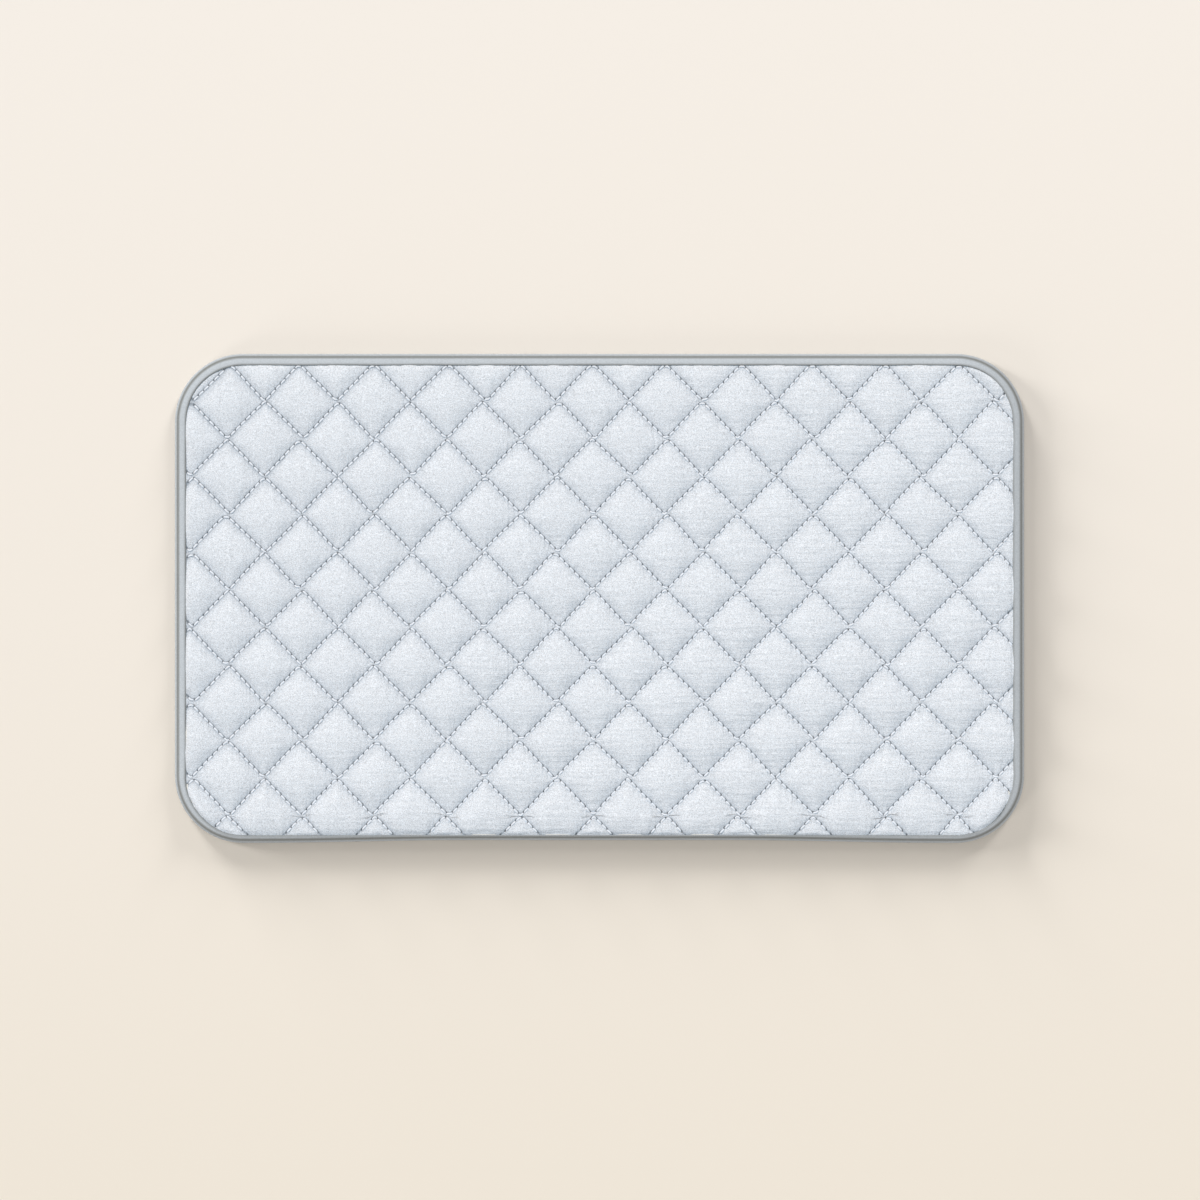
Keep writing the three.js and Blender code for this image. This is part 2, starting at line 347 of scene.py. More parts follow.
@dataclass(frozen=True)
class Quilting:
    """The diamond pattern and the zigzag rows of stitching that make it.

    Rows are numbered by the level of their upper turns, counted in half cells from the pattern's shift.
    turn_gap: how far two rows' turns lie apart. turn_round: how round a turn's corners are. pitch: the
    length of a stitch. highest_turn, lowest_turn: levels that no row goes past. half_reach: how far the
    rows are followed to each side.
    """

    cell_width: float = 72.7 * MM
    cell_height: float = 75.0 * MM
    shift_x: float = -6.2 * MM
    shift_y: float = 7.5 * MM
    turn_gap: float = 2.6 * MM
    turn_round: float = 0.9 * MM
    slow_sideways: Drift = Drift(1.5 * MM, 0.27, 0.37)
    quick_sideways: Drift = Drift(0.9 * MM, 0.127, 0.61)
    gap_drift: Drift = Drift(2.6 * MM, 0.119, 0.71)
    height_drift: Drift = Drift(0.45 * MM, 0.23, 0.53)
    least_gap: float = 1.3 * MM
    pitch: float = 7.15 * MM
    top_row: int = 6
    bottom_row: int = -6
    highest_turn: float = 230.0 * MM
    lowest_turn: float = -240.4 * MM
    half_reach: float = 0.43

    @property
    def row_numbers(self) -> range:
        """The rows from the top one down."""
        return range(self.top_row, self.bottom_row - 1, -1)

    def row_line(self, row: int, x: Array) -> Array:
        """Height across the pad of one row of stitching.

        Formula: a triangle wave between two levels of the pattern, a leg to each half cell, whose turns
        are cut flat with rounded corners. Its place along, its height and the gap between two rows' turns
        drift.

        Args:
            row: the row's number.
            x: places along the pad.

        Returns:
            The row's place across the pad at each x.
        """
        along = x + self.slow_sideways.at(row, x) + self.quick_sideways.at(row, x)
        wave = np.abs(np.mod((along - self.shift_x) / (self.cell_width / 2.0) - row, 2.0) - 1.0)
        half_gap = (self.turn_gap + self.gap_drift.at(row, x)) / 2.0
        low = self.shift_y + (row - 1) * self.cell_height / 2.0
        high = low + self.cell_height / 2.0
        height = low + wave * self.cell_height / 2.0
        under = high - half_gap - height
        height = high - half_gap - (under + np.hypot(under, self.turn_round)) / 2.0
        over = height - low - half_gap
        height = low + half_gap + (over + np.hypot(over, self.turn_round)) / 2.0
        return np.clip(height + self.height_drift.at(row, x), self.lowest_turn, self.highest_turn)

    def row_lines(self, x: Array) -> Array:
        """All rows from the top one down, kept the least gap apart.

        Args:
            x: places along the pad.

        Returns:
            Heights of shape (rows, places).
        """
        lines = [self.row_line(row, x) for row in self.row_numbers]
        for upper, line in zip(lines, lines[1:]):
            np.minimum(line, upper - self.least_gap, out=line)
        return np.array(lines)

    def row_path(self, index: int, samples: int = 6400) -> tuple[Array, Array]:
        """One row as a fine line in the plane.

        Args:
            index: the row, counted from the top one.
            samples: number of points along the pad.

        Returns:
            The line's points, and the distance run along it at each.
        """
        x = np.linspace(-self.half_reach, self.half_reach, samples)
        points = np.stack([x, self.row_lines(x)[index]], axis=-1)
        steps = np.linalg.norm(np.diff(points, axis=0), axis=1)
        return points, np.concatenate([[0.0], np.cumsum(steps)])


@dataclass(frozen=True)
class QuiltGrid:
    """A grid of points over the pad whose rows follow the stitch lines, with what each point knows.

    x, y: the points' places. fullness: how high the pillow stands, from 0 at a seam to 1 in the middle of
    a whole diamond. seam: distance to the nearest stitch line. above: 1 on the far side of that line, -1 on
    the near side and 0 on it. run: distance along that line. inset: distance in from the edge.
    """

    x: Array
    y: Array
    fullness: Array
    seam: Array
    above: Array
    run: Array
    inset: Array

    @staticmethod
    def columns(quilting: Quilting, outline: Outline, per_leg: int, least: float = 0.2) -> Array:
        """The grid's columns: even steps that meet the pattern's turns, and one on each end of the layers.

        The number of steps is a multiple of four, and the turns lie on even ones.

        Args:
            quilting: the stitch lines.
            outline: the edge.
            per_leg: columns to each slanting leg, an even number.
            least: the least share of a step that is left beside the ends.

        Returns:
            Places along the pad.
        """
        step = quilting.cell_width / 2.0 / per_leg
        end = outline.half_length - outline.cut_inset
        first = math.ceil((least * step - end - quilting.shift_x) / step)
        first += 1 - first % 2
        last = math.floor((end - least * step - quilting.shift_x) / step)
        last -= (last - first + 2) % 4
        inner = quilting.shift_x + np.arange(first, last + 1) * step
        return np.concatenate([[-end], inner, [end]])

    @staticmethod
    def over(quilting: Quilting, outline: Outline, per_leg: int = 14, per_band: int = 16,
             first_step: float = 0.8 * MM, squeezed: float = 0.25 * MM) -> "QuiltGrid":
        """Lays the grid over the pad.

        Formula: in the band between two stitch lines a point's share v of the way up is half a power of
        its step's share, so that steps are close beside the seams. Where a stitch line leaves the layers,
        the grid's line is squeezed in along the cut edge, under the tape.

        Args:
            quilting: the stitch lines.
            outline: the edge.
            per_leg: columns to each slanting leg, an even number.
            per_band: steps between two stitch lines, a multiple of four.
            first_step: the step beside a seam, where a diamond is widest.
            squeezed: the height that a band keeps along the cut edge.

        Returns:
            The grid.
        """
        x = QuiltGrid.columns(quilting, outline, per_leg)
        rows = quilting.row_lines(x)
        top = np.full((1, len(x)), outline.half_width)
        bottom = np.full((1, len(x)), quilting.lowest_turn - quilting.least_gap)
        lines = np.concatenate([top, rows, bottom])
        high, low = outline.reach(x)
        number = np.arange(len(lines))[:, None]
        laid = np.minimum(lines, high - number * squeezed)
        laid = np.maximum(laid, low + (len(lines) - 1 - number) * squeezed)
        height = (laid[:-1] - laid[1:])[:, None, :]
        share = np.linspace(-1.0, 1.0, per_band + 1)[None, :, None]
        power = np.log(np.maximum(height / 2.0 / first_step, 1.0)) / math.log(per_band / 2.0)
        from_seam = 0.5 * (1.0 - np.abs(share)) ** np.maximum(power, 1.0)
        v = np.where(share < 0.0, 1.0 - from_seam, from_seam)
        y = laid[1:, None, :] + v * height
        slope = np.gradient(lines, x, axis=1)
        upright = 1.0 / np.hypot(slope, 1.0)
        to_upper = np.abs(lines[:-1, None, :] - y) * upright[:-1, None, :]
        to_lower = np.abs(y - lines[1:, None, :]) * upright[1:, None, :]
        upper_run, lower_run = QuiltGrid.runs(quilting, x)
        seam = np.minimum(to_upper, to_lower)
        run = np.where(to_upper < to_lower, upper_run[:, None, :], lower_run[:, None, :])
        above = np.where(to_upper < to_lower, -1.0, 1.0) * (seam > TINY)
        fullness = QuiltGrid.pillow(lines, y, quilting.cell_height)
        bands = (y, fullness, seam, above, run)
        across, fullness, seam, above, run = (QuiltGrid.joined(part) for part in bands)
        along = np.broadcast_to(x, across.shape)
        return QuiltGrid(along, across, fullness, seam, above, run, outline.inset(along, across))

    @staticmethod
    def pillow(lines: Array, y: Array, whole: float, flatness: float = 2.6, softness: float = 1.4) -> Array:
        """How full each point's pillow stands.

        Formula: with e the band's height as a share of a whole diamond's and v the way up it, the place
        across the diamond's two pairs of sides is 1 - 2ev and 1 - 2e(1 - v). The fullness is the product,
        over both, of a power of 1 less a power of that place, which is level in the middle and at a seam.

        Args:
            lines: the stitch lines, of shape (lines, columns).
            y: the points, of shape (bands, steps, columns).
            whole: the height of a whole diamond.
            flatness: the inner power, larger for a flatter top.
            softness: the outer power, larger for a longer foot.

        Returns:
            The fullness, of the shape of y.
        """
        height = (lines[:-1] - lines[1:])[:, None, :]
        v = np.clip((y - lines[1:, None, :]) / height, 0.0, 1.0)
        e = np.clip(height / whole, 0.0, 1.0)
        rising = 1.0 - np.abs(1.0 - 2.0 * e * v) ** flatness
        falling = 1.0 - np.abs(1.0 - 2.0 * e * (1.0 - v)) ** flatness
        return np.maximum(rising * falling, 0.0) ** softness

    @staticmethod
    def runs(quilting: Quilting, x: Array) -> tuple[Array, Array]:
        """The distance run along the stitch line over each band and along the one under it.

        The outermost bands have one stitch line each, and take its run for both.

        Args:
            quilting: the stitch lines.
            x: the grid's columns.

        Returns:
            Two arrays of shape (bands, columns).
        """
        found = []
        for index in range(len(quilting.row_numbers)):
            points, run = quilting.row_path(index)
            found.append(np.interp(x, points[:, 0], run))
        found = np.array(found)
        return np.concatenate([found[:1], found]), np.concatenate([found, found[-1:]])

    @staticmethod
    def joined(bands: Array) -> Array:
        """Stacks the bands into one grid, each seam's points once.

        Args:
            bands: values of shape (bands, steps + 1, columns).

        Returns:
            Values of shape (bands * steps + 1, columns).
        """
        return np.concatenate([bands[:, :-1].reshape(-1, bands.shape[-1]), bands[-1, -1:]])

    def coarse(self, every: int = 2) -> "QuiltGrid":
        """The same grid with fewer rows and columns."""
        fields = (self.x, self.y, self.fullness, self.seam, self.above, self.run, self.inset)
        return QuiltGrid(*(values[::every, ::every] for values in fields))

    def points(self, height: Array | float) -> Array:
        """The grid's points at a height, of shape (rows, columns, 3)."""
        return np.stack(np.broadcast_arrays(self.x, self.y, height), axis=-1).astype(float)


@dataclass(frozen=True)
class ClothRun:
    """Blows the face cloth up between its stitch lines by Blender's cloth simulation.

    spare_cloth: the share by which the cloth grows. cap: how far a point may move. sag: how far down it
    may move.
    """

    frames: int = 20
    pressure: float = 4.0
    spare_cloth: float = 0.008
    quality: int = 5
    cap: float = 0.8 * MM
    sag: float = 0.1 * MM

    def settle(self, start: Array, held: Array) -> Array:
        """Runs the simulation and says how far each point moved, no further than the cap.

        Args:
            start: the cloth's points before it is blown up, of shape (rows, columns, 3).
            held: which points the stitches and the tape hold.

        Returns:
            The movement of each point, of the shape of start.
        """
        rows, columns = held.shape
        data = bpy.data.meshes.new("cloth_run")
        data.from_pydata(start.reshape(-1, 3), [], grid_faces(rows, columns))
        cloth = bpy.data.objects.new("cloth_run", data)
        bpy.context.scene.collection.objects.link(cloth)
        group = cloth.vertex_groups.new(name="held")
        group.add(np.flatnonzero(held.ravel()).tolist(), 1.0, "REPLACE")
        modifier = cloth.modifiers.new("blown_up", "CLOTH")
        settings = modifier.settings
        settings.quality = self.quality
        settings.vertex_group_mass = group.name
        settings.use_pressure = True
        settings.uniform_pressure_force = self.pressure
        settings.shrink_min = -self.spare_cloth
        settings.shrink_max = -self.spare_cloth
        settings.effector_weights.gravity = 0.0
        modifier.collision_settings.use_self_collision = False
        modifier.point_cache.frame_start = 1
        modifier.point_cache.frame_end = self.frames
        for number in range(1, self.frames + 1):
            bpy.context.scene.frame_set(number)
        settled = cloth.evaluated_get(bpy.context.evaluated_depsgraph_get())
        flat = np.empty(start.size, dtype=np.float32)
        settled.data.vertices.foreach_get("co", flat)
        bpy.data.objects.remove(cloth)
        bpy.data.meshes.remove(data)
        bpy.context.scene.frame_set(1)
        moved = np.nan_to_num(flat.reshape(start.shape) - start)
        moved[..., 2] = np.maximum(moved[..., 2], -self.sag)
        length = np.linalg.norm(moved, axis=-1, keepdims=True)
        log.info("cloth run: moved %.2f mm at most before the cap", float(length.max()) / MM)
        return moved * np.minimum(1.0, self.cap / np.maximum(length, TINY))


class Piece:
    """Makes finished pieces out of arrays of points and faces."""

    @staticmethod
    def made(name: str, points: Array, faces: Array | list, finish: bpy.types.Material) -> bpy.types.Object:
        """A smooth mesh piece that rides on the pad.

        Args:
            name: the piece's name.
            points: its points, one row of three each.
            faces: its faces, as point numbers.
            finish: its material.

        Returns:
            The new object, at the origin.
        """
        data = bpy.data.meshes.new(name)
        data.from_pydata(points, [], faces)
        data.shade_smooth()
        data.materials.append(finish)
        piece = bpy.data.objects.new(name, data)
        bpy.context.scene.collection.objects.link(piece)
        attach(piece, "root")
        log.info("%s: %d faces", name, len(data.polygons))
        return piece

    @staticmethod
    def marked(piece: bpy.types.Object, name: str, values: Array) -> None:
        """Stores a value for each point of a piece, for its material to read."""
        layer = piece.data.attributes.new(name, "FLOAT", "POINT")
        layer.data.foreach_set("value", values.astype(np.float32).ravel())

    @staticmethod
    def wrapped(piece: bpy.types.Object, along: Array, around: Array) -> None:
        """Gives a piece a UV map.

        Args:
            piece: the piece.
            along: the first coordinate at each face corner.
            around: the second one.
        """
        layer = piece.data.uv_layers.new(name="along_and_around")
        layer.data.foreach_set("uv", np.stack([along, around], axis=-1).astype(np.float32).ravel())


@dataclass(frozen=True)
class Layer:
    """A closed layer of the pad, between an upper and a lower grid of points. One may be twice as fine.

    press_start, press_end: how far in from the edge the tape starts to press on it and presses most.
    press_level: the level that its points are drawn to there. press_share: how much of the way.
    """

    name: str
    upper: QuiltGrid
    upper_points: Array
    lower: QuiltGrid
    lower_points: Array
    press_start: float = 9.0 * MM
    press_end: float = 4.0 * MM
    press_level: float = 4.0 * MM
    press_share: float = 0.5

    def pressed(self, grid: QuiltGrid, points: Array) -> Array:
        """The points as the tape presses them: their heights drawn in to one level near the cut edge."""
        near = smooth_step(-grid.inset, -self.press_start, -self.press_end) * self.press_share
        level = points[..., 2] + near * (self.press_level - points[..., 2])
        return np.concatenate([points[..., :2], level[..., None]], axis=-1)

    def built(self, finish: bpy.types.Material) -> bpy.types.Object:
        """Makes the layer, with its seam distance, side and run marked on its points.

        Args:
            finish: its material.

        Returns:
            The closed piece.
        """
        upper = self.pressed(self.upper, self.upper_points)
        lower = self.pressed(self.lower, self.lower_points)
        piece = Piece.made(self.name, *closed_between(upper, lower), finish)
        for mark in ("seam", "above", "run"):
            values = [getattr(grid, mark).ravel() for grid in (self.upper, self.lower)]
            Piece.marked(piece, f"stitch_{mark}", np.concatenate(values))
        return piece


@dataclass(frozen=True)
class Stitching:
    """A run of lockstitch, as one thread that dives into the cloth at each needle hole.

    ride: how far its middle stands over the cloth. sink: how deep it dives in a hole. samples: points to a
    stitch. sides: points round the thread. flatness: the power that keeps the top of a stitch level.
    """

    pitch: float
    width: float
    thickness: float
    ride: float
    sink: float
    samples: int = 8
    sides: int = 6
    hole_width_share: float = 0.45
    flatness: float = 3.6

    def tube(self, path: Array, run: Array, side: Side) -> tuple[Array, list, Array, Array]:
        """The thread along a line on the cloth.

        Formula: over one stitch the thread stands at its ride less a power of the distance from the
        stitch's middle, times the depth that it sinks in a hole. Its section is an ellipse, narrower in
        the holes. The thread starts and ends in a hole.

        Args:
            path: the line's points on the cloth.
            run: the distance run at each.
            side: the side of the pad that it lies on.

        Returns:
            Its points, its faces, and the two parts of its UV map at the face corners.
        """
        first = math.ceil(run[0] / self.pitch)
        last = math.floor(run[-1] / self.pitch)
        if last <= first:
            return np.empty((0, 3)), [], np.empty(0), np.empty(0)
        count = (last - first) * self.samples + 1
        places = np.linspace(first * self.pitch, last * self.pitch, count)
        line = np.stack([np.interp(places, run, path[:, part]) for part in range(3)], axis=-1)
        heading = np.gradient(line[:, :2], axis=0)
        heading /= np.linalg.norm(heading, axis=1, keepdims=True)
        across = np.stack([-heading[:, 1], heading[:, 0], np.zeros(count)], axis=-1)
        on_top = 1.0 - np.abs(2.0 * np.mod(places / self.pitch, 1.0) - 1.0) ** self.flatness
        on_top[[0, -1]] = 0.0
        size = self.hole_width_share + (1.0 - self.hole_width_share) * on_top
        lift = self.ride * on_top - self.sink * (1.0 - on_top)
        angle = np.linspace(0.0, 2.0 * math.pi, self.sides, endpoint=False)
        wide = across[:, None, :] * (np.cos(angle)[None, :] * size[:, None] * self.width / 2.0)[..., None]
        tall = np.sin(angle)[None, :] * size[:, None] * self.thickness / 2.0
        points = line[:, None, :] + wide
        points[..., 2] += side.value * (tall + lift[:, None])
        quads = grid_faces(count, self.sides, closed_columns=True)
        ends = [list(range(self.sides)), list(range((count - 1) * self.sides, count * self.sides))[::-1]]
        sideways = [0, 0, 1, 1]
        if side is Side.UNDERSIDE:
            quads = quads[:, ::-1]
            ends = [end[::-1] for end in ends]
            sideways = sideways[::-1]
        total = (count - 1) * self.sides
        corner_side = np.tile(sideways, total)
        corner_row = np.tile([0, 1, 1, 0], total)
        row, column = np.divmod(np.repeat(np.arange(total), 4), self.sides)
        along = np.concatenate([places[row + corner_row], np.repeat(places[[0, -1]], self.sides)])
        around = np.concatenate([(column + corner_side) / self.sides, np.zeros(2 * self.sides)])
        return points.reshape(-1, 3), quads.tolist() + ends, along, around

    def sewn(self, name: str, runs: list[tuple[Array, Array]], side: Side,
             finish: bpy.types.Material) -> bpy.types.Object:
        """Makes one piece of the thread's runs.

        Args:
            name: the piece's name.
            runs: for each run its points and the distance run at each.
            side: the side of the pad that it lies on.
            finish: its material.

        Returns:
            The piece.
        """
        points, faces, along, around = [], [], [], []
        offset = 0
        for path, run in runs:
            tube_points, tube_faces, tube_along, tube_around = self.tube(path, run, side)
            faces += [[number + offset for number in face] for face in tube_faces]
            points.append(tube_points)
            along.append(tube_along)
            around.append(tube_around)
            offset += len(tube_points)
        piece = Piece.made(name, np.concatenate(points), faces, finish)
        Piece.wrapped(piece, np.concatenate(along), np.concatenate(around))
        return piece


class NodeSheet:
    """A node tree that is being wired up."""

    def __init__(self, tree: bpy.types.NodeTree) -> None:
        """Takes an empty tree."""
        self.tree = tree

    def add(self, kind: str, **settings: object) -> bpy.types.Node:
        """Adds a node with the given settings.

        Args:
            kind: the node's type.
            settings: its properties, by name.

        Returns:
            The node.
        """
        node = self.tree.nodes.new(kind)
        for name, value in settings.items():
            setattr(node, name, value)
        return node

    def feed(self, socket: bpy.types.NodeSocket, source: object) -> None:
        """Links a socket to another one, or sets it to a plain value."""
        if isinstance(source, bpy.types.NodeSocket):
            self.tree.links.new(source, socket)
        else:
            socket.default_value = source

    def mark(self, name: str) -> bpy.types.NodeSocket:
        """Reads a value that the mesh carries for each point."""
        return self.add("ShaderNodeAttribute", attribute_name=name).outputs["Fac"]

    def split(self, place: bpy.types.NodeSocket) -> bpy.types.NodeOutputs:
        """Splits coordinates, and gives the sockets X, Y and Z."""
        node = self.add("ShaderNodeSeparateXYZ")
        self.feed(node.inputs[0], place)
        return node.outputs

    def grey(self, tone: bpy.types.NodeSocket) -> bpy.types.NodeSocket:
        """Makes a grey colour of a value."""
        node = self.add("ShaderNodeCombineColor")
        for part in ("Red", "Green", "Blue"):
            self.feed(node.inputs[part], tone)
        return node.outputs[0]

    def bumped(self, shader: bpy.types.Node, height: bpy.types.NodeSocket) -> None:
        """Feeds a shader the normal of a height in metres."""
        bump = self.add("ShaderNodeBump")
        bump.inputs["Distance"].default_value = 1.0
        self.feed(bump.inputs["Height"], height)
        self.feed(shader.inputs["Normal"], bump.outputs[0])

    def math(self, operation: str, *values: object) -> bpy.types.NodeSocket:
        """Adds a Math node and gives its result.

        Args:
            operation: what it does.
            values: its sockets or numbers.

        Returns:
            The result's socket.
        """
        node = self.add("ShaderNodeMath", operation=operation)
        for socket, value in zip(node.inputs, values):
            self.feed(socket, value)
        return node.outputs[0]

    def ramp(self, value: object, low: float, high: float, start: float, end: float) -> bpy.types.NodeSocket:
        """Turns a value from low to high smoothly into one from start to end.

        Args:
            value: the value's socket.
            low: where the ramp starts.
            high: where it ends.
            start: the result at low.
            end: the result at high.

        Returns:
            The result's socket.
        """
        node = self.add("ShaderNodeMapRange", interpolation_type="SMOOTHSTEP")
        for socket, source in zip(node.inputs, (value, low, high, start, end)):
            self.feed(socket, source)
        return node.outputs[0]

    def noise(self, place: bpy.types.NodeSocket, scale: object, stretch: tuple = (1.0, 1.0, 1.0),
              detail: float = 2.0) -> bpy.types.NodeSocket:
        """Adds a noise with its own stretch and gives its value.

        Args:
            place: the coordinates.
            scale: how many blots there are to a metre.
            stretch: how much each axis is squeezed first.
            detail: how many finer layers it has.

        Returns:
            The noise's socket.
        """
        mapping = self.add("ShaderNodeMapping")
        self.feed(mapping.inputs["Vector"], place)
        mapping.inputs["Scale"].default_value = stretch
        node = self.add("ShaderNodeTexNoise")
        self.feed(node.inputs["Vector"], mapping.outputs[0])
        self.feed(node.inputs["Scale"], scale)
        node.inputs["Detail"].default_value = detail
        return node.outputs[0]

    def group(self, tree: bpy.types.NodeTree, inputs: dict[str, object]) -> bpy.types.NodeOutputs:
        """Adds a node group, feeds its inputs by name, and gives its output sockets."""
        node = self.add("ShaderNodeGroup", node_tree=tree)
        for name, source in inputs.items():
            self.feed(node.inputs[name], source)
        return node.outputs

    def multiplied(self, first: object, second: object) -> bpy.types.NodeSocket:
        """Multiplies two colours, each a socket or four numbers, and gives the result's socket."""
        node = self.add("ShaderNodeMix", data_type="RGBA", blend_type="MULTIPLY")
        node.inputs["Factor"].default_value = 1.0
        self.feed(node.inputs["A"], first)
        self.feed(node.inputs["B"], second)
        return node.outputs["Result"]

    def tinted(self, tint: tuple, amount: bpy.types.NodeSocket) -> bpy.types.NodeSocket:
        """Goes from white to a tint by an amount, and gives the result's socket."""
        node = self.add("ShaderNodeMix", data_type="RGBA", blend_type="MIX")
        self.feed(node.inputs["Factor"], amount)
        node.inputs["A"].default_value = (1.0, 1.0, 1.0, 1.0)
        node.inputs["B"].default_value = tint
        return node.outputs["Result"]


def started_material(name: str) -> tuple[bpy.types.Material, NodeSheet, bpy.types.Node]:
    """Starts a material with a Principled shader.

    Args:
        name: the material's name.

    Returns:
        The material, its sheet and its shader node.
    """
    material = bpy.data.materials.new(name)
    material.use_nodes = True
    material.node_tree.nodes.clear()
    sheet = NodeSheet(material.node_tree)
    shader = sheet.add("ShaderNodeBsdfPrincipled")
    output = sheet.add("ShaderNodeOutputMaterial")
    sheet.feed(output.inputs["Surface"], shader.outputs[0])
    return material, sheet, shader


class Effects:
    """Node groups that more than one finish uses. Each puts out masks and heights only."""

    @staticmethod
    def started(name: str, inputs: dict[str, tuple], outputs: tuple[str, ...]) -> tuple:
        """Starts a group with its sockets.

        Args:
            name: the group's name.
            inputs: each input's socket type and first value, by name.
            outputs: the names of its outputs, which are values.

        Returns:
            The group's tree, its sheet, and its input and output nodes.
        """
        tree = bpy.data.node_groups.new(name, "ShaderNodeTree")
        for label, (kind, value) in inputs.items():
            socket = tree.interface.new_socket(label, in_out="INPUT", socket_type=kind)
            if value is not None:
                socket.default_value = value
        for label in outputs:
            tree.interface.new_socket(label, in_out="OUTPUT", socket_type="NodeSocketFloat")
        sheet = NodeSheet(tree)
        return tree, sheet, sheet.add("NodeGroupInput"), sheet.add("NodeGroupOutput")

    @staticmethod
    def woven_cloth() -> bpy.types.NodeTree:
        """A cloth's yarns, thick and thin.

        Tone lies round 1 and darkens in thin places. It also darkens between yarns and where the fuzz is low,
        in step with the height, as painted shade. Height is from 0 to 1.
        """
        inputs = {
            "Place": ("NodeSocketVector", None),
            "Yarns": ("NodeSocketFloat", 1400.0),
            "Slubs": ("NodeSocketFloat", 0.5),
            "Fuzz": ("NodeSocketFloat", 0.5),
        }
        slub_scale, thick, thin = 60.0, 0.35, 9.0
        fine_scale, coarse_scale, coarse_share = 1050.0, 330.0, 0.3
        weave_contrast, weave_height, fuzz_height = 0.04, 0.1, 0.8
        tree, sheet, given, result = Effects.started("woven_cloth", inputs, ("Tone", "Height"))
        place, yarns = given.outputs["Place"], given.outputs["Yarns"]
        split = sheet.split(place)
        across = sheet.math("SINE", sheet.math("MULTIPLY", split["X"], yarns))
        along = sheet.math("SINE", sheet.math("MULTIPLY", split["Y"], yarns))
        weave = sheet.math("MULTIPLY_ADD", sheet.math("MULTIPLY", across, along), 0.5, 0.5)
        lengthways = sheet.noise(place, slub_scale, (thick, thin, 1.0), detail=3.0)
        crossways = sheet.noise(place, slub_scale, (thin, thick, 1.0), detail=3.0)
        slubs = sheet.math("SUBTRACT", sheet.math("ADD", lengthways, crossways), 1.0)
        slubs = sheet.math("MULTIPLY", slubs, given.outputs["Slubs"])
        fine = sheet.noise(place, fine_scale, detail=0.0)
        coarse = sheet.noise(place, coarse_scale, detail=1.0)
        mixed = sheet.math("MULTIPLY_ADD", coarse, coarse_share, fine)
        fuzz = sheet.math("SUBTRACT", mixed, 0.5 + 0.5 * coarse_share)
        # Painted shade: the tone follows the fuzz and, below, the weave, as the height does.
        shading = sheet.math("MULTIPLY", fuzz, given.outputs["Fuzz"])
        yarn_tone = sheet.math("MULTIPLY_ADD", weave, weave_contrast, 1.0 - 0.5 * weave_contrast)
        sheet.feed(result.inputs["Tone"], sheet.math("ADD", yarn_tone, sheet.math("ADD", slubs, shading)))
        height = sheet.math("MULTIPLY_ADD", weave, weave_height, sheet.math("MULTIPLY", fuzz, fuzz_height))
        sheet.feed(result.inputs["Height"], sheet.math("ADD", height, 0.5))
        return tree

    @staticmethod
    def stitch_marks() -> bpy.types.NodeTree:
        """What a row of stitches does to the cloth, from the seam distance and run that it carries.

        Hole is 1 in a needle hole, and masks its dent and its painted shade. Groove is 1 beside the thread,
        where the cloth is drawn in tight, and masks painted shade there. Crease masks a broader painted shade
        that is strongest on the stitch line and dies away with the distance from it. Both are weaker by the
        near share on the near side of the line, so that the painted shade lies mostly on the far side, which
        is turned away from the key lamp, but less so where the stitches are drawn tight. Where they are
        loose, the groove's painted shade gathers at the needle holes and fades between them, by the dash.
        Pucker is a height of short wrinkles that run away from the line.
        """
        inputs = {
            "Pitch": ("NodeSocketFloat", 7.15 * MM),
            "Hole Size": ("NodeSocketFloat", 0.9 * MM),
            "Groove Width": ("NodeSocketFloat", 2.25 * MM),
            "Crease Width": ("NodeSocketFloat", 3.2 * MM),
            "Near Groove": ("NodeSocketFloat", 0.65),
            "Near Crease": ("NodeSocketFloat", 0.4),
            "Tightness": ("NodeSocketFloat", 0.0),
            "Dash": ("NodeSocketFloat", 0.6),
            "Pucker Reach": ("NodeSocketFloat", 12.0 * MM),
        }
        outputs = ("Hole", "Groove", "Crease", "Pucker")
        hole_squeeze, groove_waist, tight_crease = 1.45, 0.2, 0.8
        wrinkles_along, wrinkles_away = 210.0, 45.0
        tree, sheet, given, result = Effects.started("stitch_marks", inputs, outputs)
        seam = sheet.mark("stitch_seam")
        run = sheet.mark("stitch_run")
        above = sheet.mark("stitch_above")
        tight = given.outputs["Tightness"]
        turn = sheet.math("DIVIDE", run, given.outputs["Pitch"])
        from_hole = sheet.math("PINGPONG", turn, 0.5)
        along = sheet.math("MULTIPLY", from_hole, given.outputs["Pitch"])
        stretched = sheet.math("MULTIPLY", along, hole_squeeze)
        squared = sheet.math("MULTIPLY_ADD", stretched, stretched, sheet.math("MULTIPLY", seam, seam))
        # Hole: the needle hole's mask, for its dent and its painted shade.
        away = sheet.math("DIVIDE", sheet.math("SQRT", squared), given.outputs["Hole Size"])
        sheet.feed(result.inputs["Hole"], sheet.ramp(away, low=0.3, high=1.4, start=1.0, end=0.0))
